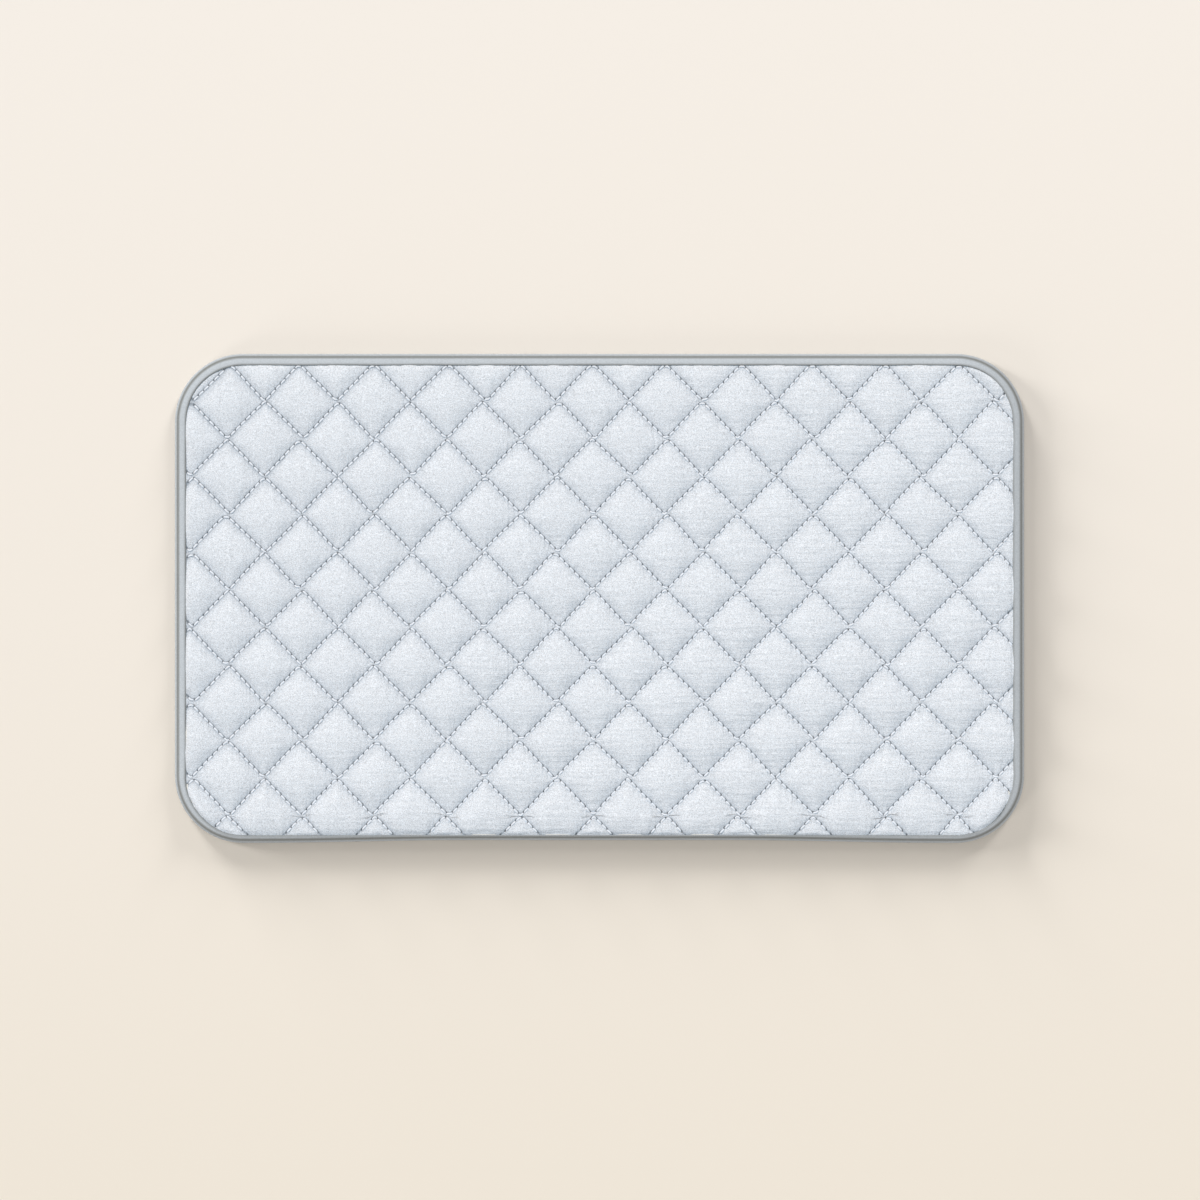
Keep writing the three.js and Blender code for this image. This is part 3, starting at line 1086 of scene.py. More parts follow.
        # Groove: a mask for painted shade beside the thread, strongest on the far side of the line.
        beside = sheet.math("DIVIDE", seam, given.outputs["Groove Width"])
        narrowing = sheet.math("MULTIPLY_ADD", from_hole, groove_waist, beside)
        groove = sheet.ramp(narrowing, low=0.55, high=1.1, start=1.0, end=0.0)
        near_groove = sheet.math("MULTIPLY", tight, given.outputs["Near Groove"])
        groove_share = sheet.ramp(above, low=-0.6, high=0.6, start=near_groove, end=1.0)
        dash = sheet.math("MULTIPLY", sheet.math("SUBTRACT", 1.0, tight), given.outputs["Dash"])
        strong = sheet.math("ADD", 1.0, dash)
        weak = sheet.math("SUBTRACT", 1.0, dash)
        dashed = sheet.ramp(from_hole, low=0.05, high=0.35, start=strong, end=weak)
        gathered = sheet.math("MULTIPLY", groove_share, dashed)
        sheet.feed(result.inputs["Groove"], sheet.math("MULTIPLY", groove, gathered))
        # Crease: a mask for a broader painted shade that fades away from the line.
        fading = sheet.math("DIVIDE", seam, sheet.math("MULTIPLY", given.outputs["Crease Width"], -1.0))
        near_crease = sheet.math("MULTIPLY_ADD", tight, tight_crease, given.outputs["Near Crease"])
        crease_share = sheet.ramp(above, low=-1.0, high=1.0, start=near_crease, end=1.0)
        crease = sheet.math("MULTIPLY", sheet.math("EXPONENT", fading), crease_share)
        sheet.feed(result.inputs["Crease"], crease)
        place = sheet.add("ShaderNodeCombineXYZ")
        sheet.feed(place.inputs["X"], sheet.math("MULTIPLY", run, wrinkles_along))
        sheet.feed(place.inputs["Y"], sheet.math("MULTIPLY", seam, wrinkles_away))
        wrinkles = sheet.noise(place.outputs[0], 1.0)
        reached = sheet.math("DIVIDE", seam, given.outputs["Pucker Reach"])
        near = sheet.ramp(reached, low=0.0, high=1.0, start=1.0, end=0.0)
        pulled = sheet.math("MULTIPLY", sheet.math("SUBTRACT", wrinkles, 0.5), near)
        sheet.feed(result.inputs["Pucker"], pulled)
        return tree

    @staticmethod
    def tape_edges() -> bpy.types.NodeTree:
        """Where a folded tape gets painted shade: beside its outer fold, and at its lip.

        Shade masks that painted shade. It is 1 beside the fold, less on the fold's outermost rim, a little
        less at the lip, and dies away between them.
        """
        inputs = {
            "Fold Width": ("NodeSocketFloat", 3.0 * MM),
            "Lip Width": ("NodeSocketFloat", 1.5 * MM),
        }
        tree, sheet, given, result = Effects.started("tape_edges", inputs, ("Shade",))
        turned = sheet.math("DIVIDE", sheet.mark("fold_distance"), given.outputs["Fold Width"])
        # The fold's outermost rim gets less painted shade.
        less_at_rim = sheet.ramp(turned, low=0.3, high=1.0, start=0.15, end=1.0)
        inward = sheet.ramp(turned, low=1.05, high=2.0, start=1.0, end=0.0)
        at_fold = sheet.math("MULTIPLY", less_at_rim, inward)
        from_lip = sheet.math("DIVIDE", sheet.mark("lip_distance"), given.outputs["Lip Width"])
        at_lip = sheet.ramp(from_lip, low=0.2, high=2.0, start=0.8, end=0.0)
        sheet.feed(result.inputs["Shade"], sheet.math("MAXIMUM", at_fold, at_lip))
        return tree

    @staticmethod
    def twisted_yarn() -> bpy.types.NodeTree:
        """The slanting strands of a thread or cord, over a UV map of run and turn. Height is from 0 to 1."""
        inputs = {
            "Place": ("NodeSocketVector", None),
            "Twist": ("NodeSocketFloat", 1100.0),
            "Strands": ("NodeSocketFloat", 3.0),
        }
        tree, sheet, given, result = Effects.started("twisted_yarn", inputs, ("Height",))
        split = sheet.split(given.outputs["Place"])
        slant = sheet.math("MULTIPLY", split["X"], given.outputs["Twist"])
        turns = sheet.math("MULTIPLY", given.outputs["Strands"], 2.0 * math.pi)
        wave = sheet.math("SINE", sheet.math("MULTIPLY_ADD", split["Y"], turns, slant))
        sheet.feed(result.inputs["Height"], sheet.math("MULTIPLY_ADD", wave, 0.5, 0.5))
        return tree

    @staticmethod
    def handling() -> bpy.types.NodeTree:
        """Soft blots where a cloth has been pressed and handled. Tone lies round 1."""
        inputs = {
            "Place": ("NodeSocketVector", None),
            "Blots": ("NodeSocketFloat", 14.0),
            "Strength": ("NodeSocketFloat", 0.03),
        }
        tree, sheet, given, result = Effects.started("handling", inputs, ("Tone",))
        blots = sheet.noise(given.outputs["Place"], given.outputs["Blots"], detail=3.0)
        swing = sheet.math("MULTIPLY", sheet.math("SUBTRACT", blots, 0.5), 2.0)
        tone = sheet.math("MULTIPLY_ADD", swing, given.outputs["Strength"], 1.0)
        sheet.feed(result.inputs["Tone"], tone)
        return tree


def linear(colour: tuple[int, int, int]) -> tuple[float, float, float, float]:
    """A screen colour, 0 to 255, as the light values that a material takes.

    Formula: the sRGB standard's curve, a straight line up to 0.04045 and a power of 2.4 above it.

    Args:
        colour: red, green and blue on a screen.

    Returns:
        Red, green, blue and 1.
    """
    share = np.array(colour) / 255.0
    light = np.where(share <= 0.04045, share / 12.92, ((share + 0.055) / 1.055) ** 2.4)
    return (*(float(value) for value in light), 1.0)


@dataclass(frozen=True)
class ClothFinish:
    """A woven or felted cloth.

    relief, pucker_relief, wrinkle_relief, hole_depth: heights in the bump. wrinkles: how many slow
    wrinkles there are to a metre, and how much each axis is squeezed for them. tightness: how tight its
    stitches are drawn in the pad's middle, and how that changes in a metre along the pad and across it; it
    also sets how much painted shade lies on the near side of the stitch lines, and how evenly the groove's
    painted shade runs along them. The darkening in the needle holes and beside the thread, and the blue grey
    tint along the creases, are painted shade along the stitch lines. The edge's tint is the warm grey of the
    painted shade along a folded tape's outer fold and lip.
    """

    name: str
    colour: tuple[int, int, int]
    slot: str
    weave: Weave = Weave.PLAIN
    roughness: float = 0.85
    metallic: float = 0.0
    sheen: float = 0.1
    specular: float = 0.25
    yarns: float = 7000.0
    slubs: float = 0.06
    fuzz: float = 0.72
    blots: float = 0.015
    relief: float = 0.3 * MM
    is_stitched: bool = False
    is_folded_tape: bool = False
    # Painted shade along the stitch lines: in the needle holes, beside the thread and, blue grey, in the
    # creases.
    painted_hole_shade: float = 0.5
    hole_depth: float = 0.5 * MM
    painted_groove_shade: float = 0.42
    painted_crease_shade: tuple[float, float, float] = (0.62, 0.665, 0.71)
    # Painted shade along a folded tape's outer fold and lip, in warm grey.
    painted_edge_shade: tuple[float, float, float] = (0.45, 0.43, 0.39)
    pucker_relief: float = 2.1 * MM
    wrinkle_relief: float = 1.2 * MM
    wrinkles: float = 24.0
    wrinkle_squeeze: tuple[float, float, float] = (1.0, 9.0, 1.0)
    yarn_gloss: float = 0.08
    tightness: tuple[float, float, float] = (0.12, -1.15, 1.0)

    def sewn(self, sheet: NodeSheet, place: bpy.types.NodeSocket, tree: bpy.types.NodeTree) -> tuple:
        """Adds what the stitches do to the cloth.

        The stitches are drawn tightest at one corner of the pad, and the cloth wrinkles where they are loose.
        The needle holes, the grooves beside the thread and the creases get painted shade.

        Args:
            sheet: the material's sheet.
            place: the coordinates.
            tree: the stitch marks.

        Returns:
            What the tone is multiplied by for the painted shade of holes and grooves, what is added to the
            height, and the colour of the creases' painted shade.
        """
        split = sheet.split(place)
        middle, along, across = self.tightness
        drawn = sheet.math("MULTIPLY_ADD", split["Y"], across, middle)
        drawn = sheet.math("MULTIPLY_ADD", split["X"], along, drawn)
        tight = sheet.math("MAXIMUM", drawn, 0.0)
        marks = sheet.group(tree, {"Tightness": tight})
        waves = sheet.noise(place, self.wrinkles, self.wrinkle_squeeze)
        loose = sheet.math("POWER", sheet.math("SUBTRACT", 1.0, tight), 2.0)
        wrinkled = sheet.math("MULTIPLY", loose, self.wrinkle_relief)
        height = sheet.math("MULTIPLY", sheet.math("SUBTRACT", waves, 0.5), wrinkled)
        height = sheet.math("MULTIPLY_ADD", marks["Pucker"], self.pucker_relief, height)
        height = sheet.math("MULTIPLY_ADD", marks["Hole"], -self.hole_depth, height)
        # Painted shade in the needle holes and beside the thread, and a blue grey painted shade in the
        # creases.
        hole = sheet.math("MULTIPLY_ADD", marks["Hole"], -self.painted_hole_shade, 1.0)
        groove = sheet.math("MULTIPLY_ADD", marks["Groove"], -self.painted_groove_shade, 1.0)
        shade = sheet.tinted((*self.painted_crease_shade, 1.0), marks["Crease"])
        return sheet.math("MULTIPLY", hole, groove), height, shade

    def material(self, groups: dict[str, bpy.types.NodeTree]) -> bpy.types.Material:
        """Builds the material.

        Args:
            groups: the shared effects, by name.

        Returns:
            The material.
        """
        material, sheet, shader = started_material(self.name)
        shader.inputs["Metallic"].default_value = self.metallic
        shader.inputs["Sheen Weight"].default_value = self.sheen
        shader.inputs["Specular IOR Level"].default_value = self.specular
        place = sheet.add("ShaderNodeTexCoord").outputs["Object"]
        yarns = self.yarns if self.weave is Weave.PLAIN else 0.0
        given = {"Place": place, "Yarns": yarns, "Slubs": self.slubs, "Fuzz": self.fuzz}
        weave = sheet.group(groups["woven_cloth"], given)
        blots = sheet.group(groups["handling"], {"Place": place, "Strength": self.blots})
        tone = sheet.math("MULTIPLY", weave["Tone"], blots["Tone"])
        height = sheet.math("MULTIPLY", weave["Height"], self.relief)
        shade = None
        # Stitched cloth gets painted shade from the stitch marks.
        if self.is_stitched:
            darker, relief, shade = self.sewn(sheet, place, groups["stitch_marks"])
            tone = sheet.math("MULTIPLY", tone, darker)
            height = sheet.math("ADD", height, relief)
        # A folded tape gets a warm grey painted shade along its outer fold and at its lip.
        if self.is_folded_tape:
            edges = sheet.group(groups["tape_edges"], {})
            shade = sheet.tinted((*self.painted_edge_shade, 1.0), edges["Shade"])
        colour = sheet.multiplied(linear(self.colour), sheet.grey(tone))
        if shade is not None:
            colour = sheet.multiplied(colour, shade)
        sheet.feed(shader.inputs["Base Color"], colour)
        plain = self.roughness - 0.5 * self.yarn_gloss
        rough = sheet.math("MULTIPLY_ADD", weave["Height"], self.yarn_gloss, plain)
        sheet.feed(shader.inputs["Roughness"], rough)
        sheet.bumped(shader, height)
        return material


@dataclass(frozen=True)
class ThreadFinish:
    """A twisted sewing thread, with painted shade in the grooves between its strands."""

    name: str
    colour: tuple[int, int, int]
    slot: str = "sewing_thread"
    roughness: float = 0.6
    sheen: float = 0.2
    relief: float = 0.08 * MM
    # Painted shade between the strands.
    painted_groove_shade: float = 0.03

    def material(self, groups: dict[str, bpy.types.NodeTree]) -> bpy.types.Material:
        """Builds the material.

        Args:
            groups: the shared effects, by name.

        Returns:
            The material.
        """
        material, sheet, shader = started_material(self.name)
        shader.inputs["Roughness"].default_value = self.roughness
        shader.inputs["Sheen Weight"].default_value = self.sheen
        place = sheet.add("ShaderNodeTexCoord").outputs["UV"]
        height = sheet.group(groups["twisted_yarn"], {"Place": place})["Height"]
        # Painted shade: the tone is darker where the strands' height is low.
        tone = sheet.math("MULTIPLY_ADD", height, self.painted_groove_shade, 1.0 - self.painted_groove_shade)
        sheet.feed(shader.inputs["Base Color"], sheet.multiplied(linear(self.colour), sheet.grey(tone)))
        sheet.bumped(shader, sheet.math("MULTIPLY", height, self.relief))
        return material


class Finishes:
    """All the pad's materials, built once."""

    def __init__(self) -> None:
        """Builds the shared effects and each finish."""
        self.groups = {
            "woven_cloth": Effects.woven_cloth(),
            "stitch_marks": Effects.stitch_marks(),
            "tape_edges": Effects.tape_edges(),
            "twisted_yarn": Effects.twisted_yarn(),
            "handling": Effects.handling(),
        }
        self.face = ClothFinish("face_cotton", (227, 232, 238), "face_cloth", is_stitched=True)
        self.tape = ClothFinish("binding_tape", (195, 200, 204), "binding_tape", slubs=0.03, fuzz=0.3,
                                yarns=9000.0, relief=0.15 * MM, sheen=0.1, blots=0.02, is_folded_tape=True)
        self.felt = ClothFinish("backing_felt", (205, 208, 211), "backing_felt", weave=Weave.FELTED,
                                slubs=0.04, fuzz=0.5, relief=0.3 * MM, is_stitched=True, sheen=0.3)
        self.wadding = ClothFinish("polyester_wadding", (242, 241, 236), "wadding", weave=Weave.FELTED,
                                   fuzz=0.4, relief=0.4 * MM, sheen=0.4)
        self.barrier = ClothFinish("metallised_cloth", (200, 203, 207), "barrier_cloth", roughness=0.35,
                                   metallic=0.85, slubs=0.05, fuzz=0.05)
        self.white_thread = ThreadFinish("white_quilting_thread", (236, 242, 250))
        self.grey_thread = ThreadFinish("grey_binding_thread", (168, 175, 181))
        self.built: dict[str, bpy.types.Material] = {}

    def of(self, finish: ClothFinish | ThreadFinish) -> bpy.types.Material:
        """The material of a finish, built when it is first asked for."""
        if finish.name not in self.built:
            self.built[finish.name] = finish.material(self.groups)
        return self.built[finish.name]


@dataclass(frozen=True)
class QuiltedFace:
    """The face cloth, with its pillows, and the needle threads that lie on it.

    crown: how high a whole pillow stands in the pad's middle. crown_drift: the share of that by which the
    pillows are lower a metre further up. edge_rise: how soon the cloth rises beside the tape's lip.
    take_up: the share of cloth that the pillows take up; it is not used. under_tape: how far the rows run on
    under the lip.
    """

    outline: Outline
    quilting: Quilting
    grid: QuiltGrid
    seam_level: float = 6.1 * MM
    crown: float = 4.5 * MM
    crown_drift: float = 1.04
    thickness: float = 0.5 * MM
    edge_rise: float = 0.9 * MM
    take_up: float = 0.016
    under_tape: float = 0.5 * MM

    @property
    def stitching(self) -> Stitching:
        """The quilting stitch as it shows on the face."""
        return Stitching(self.quilting.pitch, width=2.05 * MM, thickness=1.0 * MM, ride=0.5 * MM,
                         sink=0.65 * MM)

    def clear(self, grid: QuiltGrid) -> Array:
        """How far in from the tape's lip each point of a grid lies, 0 under the tape."""
        return np.maximum(grid.inset - self.outline.band(grid.x, grid.y), 0.0)

    def rise(self, grid: QuiltGrid) -> Array:
        """How far the cloth stands over its seams before it is blown up.

        Formula: the crown times the fullness, which fades out beside the tape's lip by an exponential. The
        crown grows evenly towards the lower side, where the wadding has settled.

        Args:
            grid: the points.

        Returns:
            The height at each point.
        """
        crown = self.crown * (1.0 - self.crown_drift * grid.y)
        return crown * grid.fullness * (1.0 - np.exp(-self.clear(grid) / self.edge_rise))

    def surface(self) -> Array:
        """The places of the cloth's upper side: its rise over the seams, and what the simulation moves.

        Returns:
            Points of shape (rows, columns, 3).
        """
        points = self.grid.points(self.seam_level + self.rise(self.grid))
        coarse = self.grid.coarse()
        held = (coarse.seam < TINY) | (self.clear(coarse) <= 0.0)
        moved = ClothRun().settle(points[::2, ::2], held)
        return points + refined(moved)

    def cloth(self, points: Array, finish: bpy.types.Material) -> bpy.types.Object:
        """Makes the cloth: a fine upper side over a coarser lower one, closed at the cut edge."""
        under = points[::2, ::2] - [0.0, 0.0, self.thickness]
        layer = Layer("quilted_face_cloth", self.grid, points, self.grid.coarse(), under)
        return layer.built(finish)

    def rows(self, height: float) -> list[list[tuple[Array, Array]]]:
        """The stretches of each row that show between the tape's lips, at a height.

        Args:
            height: the height of the cloth in the seams.

        Returns:
            For each row its stretches, each as points and the distance run at each.
        """
        found = []
        for index in range(len(self.quilting.row_numbers)):
            line, run = self.quilting.row_path(index)
            x, y = line[:, 0], line[:, 1]
            clear = self.outline.inset(x, y) > self.outline.band(x, y) - self.under_tape
            cuts = np.flatnonzero(np.diff(clear.astype(int))) + 1
            path = np.column_stack([line, np.full(len(line), height)])
            pieces = zip(np.split(path, cuts), np.split(run, cuts), np.split(clear, cuts))
            found.append([(points, part_run) for points, part_run, shows in pieces if shows[0]])
        return found

    def built(self, finishes: Finishes) -> list[bpy.types.Object]:
        """Makes the face cloth and its threads.

        Args:
            finishes: the pad's materials.

        Returns:
            The face cloth and one piece for each row of stitches.
        """
        points = self.surface()
        cloth = self.cloth(points, finishes.of(finishes.face))
        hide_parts("face_cloth")
        pieces = [cloth]
        for number, runs in enumerate(self.rows(self.seam_level), start=1):
            thread = self.stitching.sewn(f"face_stitches_{number:02d}", runs, Side.FACE,
                                         finishes.of(finishes.white_thread))
            if f"needle_thread_{number:02d}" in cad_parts:
                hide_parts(f"needle_thread_{number:02d}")
            pieces.append(thread)
        return pieces


@dataclass(frozen=True)
class Filling:
    """The layers between the face and the backing: wadding, heat barrier and underlay.

    wadding_rise: the share of the face's rise that the wadding follows. rumple: how deep the slow waves in
    the flat layers are. rumple_along, rumple_across: how long they are, by the radian.
    """

    outline: Outline
    grid: QuiltGrid
    face: QuiltedFace
    wadding_gap: float = 0.25 * MM
    wadding_rise: float = 0.85
    wadding_base: float = 4.75 * MM
    barrier_level: float = 4.2 * MM
    barrier_thickness: float = 0.3 * MM
    underlay_level: float = 2.9 * MM
    underlay_thickness: float = 1.0 * MM
    rumple: float = 0.08 * MM
    rumple_along: float = 21.0 * MM
    rumple_across: float = 17.0 * MM
    fill: float = 0.45

    def rumpled(self, grid: QuiltGrid, level: float) -> Array:
        """A level with slow waves in it, lowest in the middle of each diamond."""
        waves = np.sin(grid.x / self.rumple_along) * np.sin(grid.y / self.rumple_across)
        return level + self.rumple * (waves - 2.0 * grid.fullness) / 3.0

    def layer(self, name: str, top: Array, base: Array, finish: bpy.types.Material) -> bpy.types.Object:
        """Makes one layer on the coarse grid, between two fields of heights."""
        coarse = self.grid.coarse(4)
        return Layer(name, coarse, coarse.points(top), coarse, coarse.points(base)).built(finish)

    def built(self, finishes: Finishes) -> list[bpy.types.Object]:
        """Makes the three layers.

        Args:
            finishes: the pad's materials.

        Returns:
            Wadding, barrier and underlay.
        """
        coarse = self.grid.coarse(4)
        face = self.face
        under_face = face.seam_level - face.thickness - self.wadding_gap
        top = under_face + self.wadding_rise * face.rise(coarse)
        base = self.rumpled(coarse, self.wadding_base)
        wadding = self.layer("upper_wadding_fill", top, base, finishes.of(finishes.wadding))
        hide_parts("upper_wadding")
        low = self.rumpled(coarse, self.barrier_level)
        high = low + self.barrier_thickness
        barrier = self.layer("heat_barrier_cloth", high, low, finishes.of(finishes.barrier))
        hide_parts("heat_barrier")
        low = self.rumpled(coarse, self.underlay_level)
        high = low + self.underlay_thickness
        underlay = self.layer("underlay_felt", high, low, finishes.of(finishes.wadding))
        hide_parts("underlay")
        return [wadding, barrier, underlay]


@dataclass(frozen=True)
class QuiltedBack:
    """The felt backing, with low pillows that lie on the table, and the bobbin threads under it.

    swell: how far a whole pillow hangs below the seams. upper_level: where the felt's upper side lies.
    edge_rise: how soon the pillows start beside the tape's lower lip, which ends at the lower band.
    """

    outline: Outline
    quilting: Quilting
    grid: QuiltGrid
    face: QuiltedFace
    seam_level: float = 2.0 * MM
    swell: float = 1.95 * MM
    upper_level: float = 2.6 * MM
    edge_rise: float = 5.0 * MM
    lower_band: float = 9.0 * MM
    take_up: float = 0.008

    @property
    def stitching(self) -> Stitching:
        """The quilting stitch as it shows underneath, with less thread to it."""
        return Stitching(self.quilting.pitch, width=1.3 * MM, thickness=0.7 * MM, ride=0.3 * MM,
                         sink=0.4 * MM, samples=6, sides=5)

    def built(self, finishes: Finishes) -> list[bpy.types.Object]:
        """Makes the backing and its threads.

        Formula: the underside hangs below the seam level by its swell times 1 less the cube of 1 less the
        fullness, so that the pillows are flat where they lie on the table.

        Args:
            finishes: the pad's materials.

        Returns:
            The backing and one piece for each row of stitches.
        """
        coarse = self.grid.coarse(2)
        clear = np.maximum(coarse.inset - self.lower_band, 0.0)
        flat_below = 1.0 - (1.0 - np.clip(coarse.fullness, 0.0, 1.0)) ** 3
        hang = self.swell * flat_below * (1.0 - np.exp(-clear / self.edge_rise))
        upper = self.grid.coarse(4)
        layer = Layer("quilted_backing_felt", upper, upper.points(self.upper_level), coarse,
                      coarse.points(self.seam_level - hang))
        backing = layer.built(finishes.of(finishes.felt))
        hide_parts("backing_felt")
        pieces = [backing]
        for number, runs in enumerate(self.face.rows(self.seam_level), start=1):
            thread = self.stitching.sewn(f"underside_stitches_{number:02d}", runs, Side.UNDERSIDE,
                                         finishes.of(finishes.white_thread))
            if f"bobbin_thread_{number:02d}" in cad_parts:
                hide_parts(f"bobbin_thread_{number:02d}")
            pieces.append(thread)
        return pieces


@dataclass(frozen=True)
class EdgeBinding:
    """The tape folded round the cut edge, and the two threads of its seam.

    step: the distance between its sections. top, widest, bottom: the levels of its crest, its fold and its
    lowest line. lip_roll_share: the share of the upper lip's width in which it rolls down to its edge.
    lip_end_share: the share of that roll which the cloth inside it reaches. fold_shape: the superellipse's
    power. lower_round: the width of the round under the fold. lower_flat: where the lower lip lies flat.
    wander, wander_length: how far the upper lip wanders, and over what length. pucker, pucker_length: the
    same for the ripples beside its stitches.
    """

    outline: Outline
    face: QuiltedFace
    tape_width: float = 24.0 * MM
    step: float = 2.0 * MM
    top: float = 7.8 * MM
    widest: float = 2.5 * MM
    bottom: float = 0.05 * MM
    lip_height: float = 6.75 * MM
    lip_roll_share: float = 0.11
    lip_roll_steps: int = 4
    lip_end_share: float = 0.7
    fold_shape: float = 1.3
    lower_round: float = 4.0 * MM
    lower_flat: float = 6.5 * MM
    lower_lip: float = 9.0 * MM
    lower_lip_height: float = 1.0 * MM
    thickness: float = 0.6 * MM
    inner_turn: float = 2.2 * MM
    round_steps: int = 12
    wander: float = 0.12 * MM
    wander_length: float = 83.0 * MM
    pucker: float = 0.1 * MM
    pucker_length: float = 9.3 * MM
    upper_seam_clear: float = 0.1 * MM
    lower_seam_setback: float = 1.5 * MM

    @property
    def stitching(self) -> Stitching:
        """The binding's stitch, of a finer thread than the quilting's."""
        return Stitching(3.2 * MM, width=0.55 * MM, thickness=0.45 * MM, ride=0.15 * MM, sink=0.4 * MM,
                         samples=6, sides=5)

    def section(self, band: Array) -> tuple[Array, Array]:
        """The closed section of the tape at each place round the edge, as insets and heights.

        Formula: from the upper lip the outer side falls to the widest level at the edge as a quarter of a
        superellipse, whose power lies between a straight slope's 1 and a round's 2. Then a quarter
        ellipse turns under to the table and a straight lower lip. The inner side is the same way back, a
        thickness further in.

        Args:
            band: the width of the upper lip at each place.

        Returns:
            Insets and heights, each of shape (places, points of the section).
        """
        angle = np.linspace(0.0, math.pi / 2.0, self.round_steps + 1)
        outward = np.sin(angle) ** (2.0 / self.fold_shape)
        level = np.cos(angle) ** (2.0 / self.fold_shape)
        lip_roll = (band * self.lip_roll_share)[:, None]
        crest = band[:, None] - lip_roll
        ones = np.ones_like(crest)
        roll = np.linspace(math.pi / 2.0, 0.0, self.lip_roll_steps + 1)[:-1]
        lip_inset = crest + lip_roll * np.sin(roll)
        lip_height = self.lip_height + (self.top - self.lip_height) * np.cos(roll) * ones
        outer_inset = crest * (1.0 - outward)
        outer_height = self.widest + (self.top - self.widest) * level * ones
        under = angle[:-1][::-1]
        under_inset = self.lower_round * (1.0 - np.sin(under)) * ones
        under_height = self.widest - (self.widest - self.bottom) * np.cos(under) * ones
        lower_inset = np.array([self.lower_flat, self.lower_lip, self.lower_lip]) * ones
        wall = self.thickness
        lower_height = (self.lower_lip_height + np.array([0.0, 0.0, wall])) * ones
        back_inset = np.array([self.lower_round, self.inner_turn]) * ones
        back_height = (self.lower_lip_height + np.array([wall, 2.0 * wall])) * ones
        inner_inset = wall + (crest - wall) * (1.0 - outward[2:-1:2][::-1])
        inner_height = self.widest + (self.top - wall - self.widest) * level[2:-1:2][::-1] * ones
        end_inset = np.concatenate([crest, crest + self.lip_end_share * lip_roll], axis=1)
        end_height = np.array([self.top - wall, self.lip_height - 0.5 * wall]) * ones
        insets = [lip_inset, outer_inset, under_inset, lower_inset, back_inset, inner_inset, end_inset]
        heights = [lip_height, outer_height, under_height, lower_height, back_height, inner_height,
                   end_height]
        return np.concatenate(insets, axis=1), np.concatenate(heights, axis=1)

    @staticmethod
    def round_wave(edge: Edge, size: float, length: float) -> Array:
        """A wave of whole turns round the edge.

        Args:
            edge: the edge.
            size: the wave's height.
            length: about how long it is.

        Returns:
            Its height at each place.
        """
        turns = round(edge.length / length)
        return size * np.sin(edge.run * 2.0 * math.pi * turns / edge.length)

    def tape(self, finish: bpy.types.Material) -> bpy.types.Object:
        """Sweeps the section round the edge, with small puckers where the stitches hold the lip.

        Formula: a pucker fades with the cube of the share of the way in to the lip.

        Args:
            finish: the tape's material.

        Returns:
            The tape.
        """
        edge = self.outline.stations(self.step)
        band = self.outline.band(edge.points[:, 0], edge.points[:, 1])
        wander = self.round_wave(edge, self.wander, self.wander_length)
        inset, height = self.section(band + wander)
        ripple = self.round_wave(edge, self.pucker, self.pucker_length)
        near_lip = np.clip(inset / band[:, None], 0.0, 1.0) ** 3 * (height > self.widest)
        height = height + ripple[:, None] * near_lip
        points = edge.points[:, None, :] - edge.outward[:, None, :] * inset[..., None]
        points = np.concatenate([points, height[..., None]], axis=-1)
        count, around = inset.shape
        faces = grid_faces(count, around, closed_rows=True, closed_columns=True)[:, ::-1]
        piece = Piece.made("edge_tape", points.reshape(-1, 3), faces, finish)
        Piece.marked(piece, "fold_distance", np.hypot(inset, np.minimum(height - self.widest, 0.0)))
        to_lip = (band + wander)[:, None] - inset
        Piece.marked(piece, "lip_distance", np.hypot(to_lip, height - self.lip_height))
        return piece

    def seam(self, name: str, inset: Array, height: float, side: Side,
             finish: bpy.types.Material) -> bpy.types.Object:
        """Sews a row of stitches round the pad.

        Args:
            name: the piece's name.
            inset: its distance in from the edge at each place.
            height: its height.
            side: the side that it shows on.
            finish: its material.

        Returns:
            The piece.
        """
        edge = self.outline.stations(self.step)
        points = edge.moved_in(inset)
        points = np.concatenate([points, points[:1]])
        run = np.concatenate([[0.0], np.cumsum(np.linalg.norm(np.diff(points, axis=0), axis=1))])
        path = np.column_stack([points, np.full(len(points), height)])
        return self.stitching.sewn(name, [(path, run)], side, finish)

    def built(self, finishes: Finishes) -> list[bpy.types.Object]:
        """Makes the tape and its two threads.

        Args:
            finishes: the pad's materials.

        Returns:
            The tape, the needle thread and the bobbin thread.
        """
        tape = self.tape(finishes.of(finishes.tape))
        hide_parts("edge_binding")
        edge = self.outline.stations(self.step)
        grey = finishes.of(finishes.grey_thread)
        inset = self.outline.band(edge.points[:, 0], edge.points[:, 1]) + self.upper_seam_clear
        upper = self.seam("tape_needle_stitches", inset, self.face.seam_level, Side.FACE, grey)
        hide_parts("binding_needle_thread")
        inset = np.full(len(edge.run), self.lower_lip - self.lower_seam_setback)
        lower = self.seam("tape_bobbin_stitches", inset, self.lower_lip_height, Side.UNDERSIDE, grey)
        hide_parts("binding_bobbin_thread")
        return [tape, upper, lower]


@dataclass(frozen=True)
class Lamp:
    """A far lamp: the shares of plain white that it gives level ground, and where it stands.

    azimuth: degrees anticlockwise from +X. height: degrees over the ground. spread: how wide it looks.
    """

    name: str
    shares: tuple[float, float, float]
    azimuth: float
    height: float
    spread: float


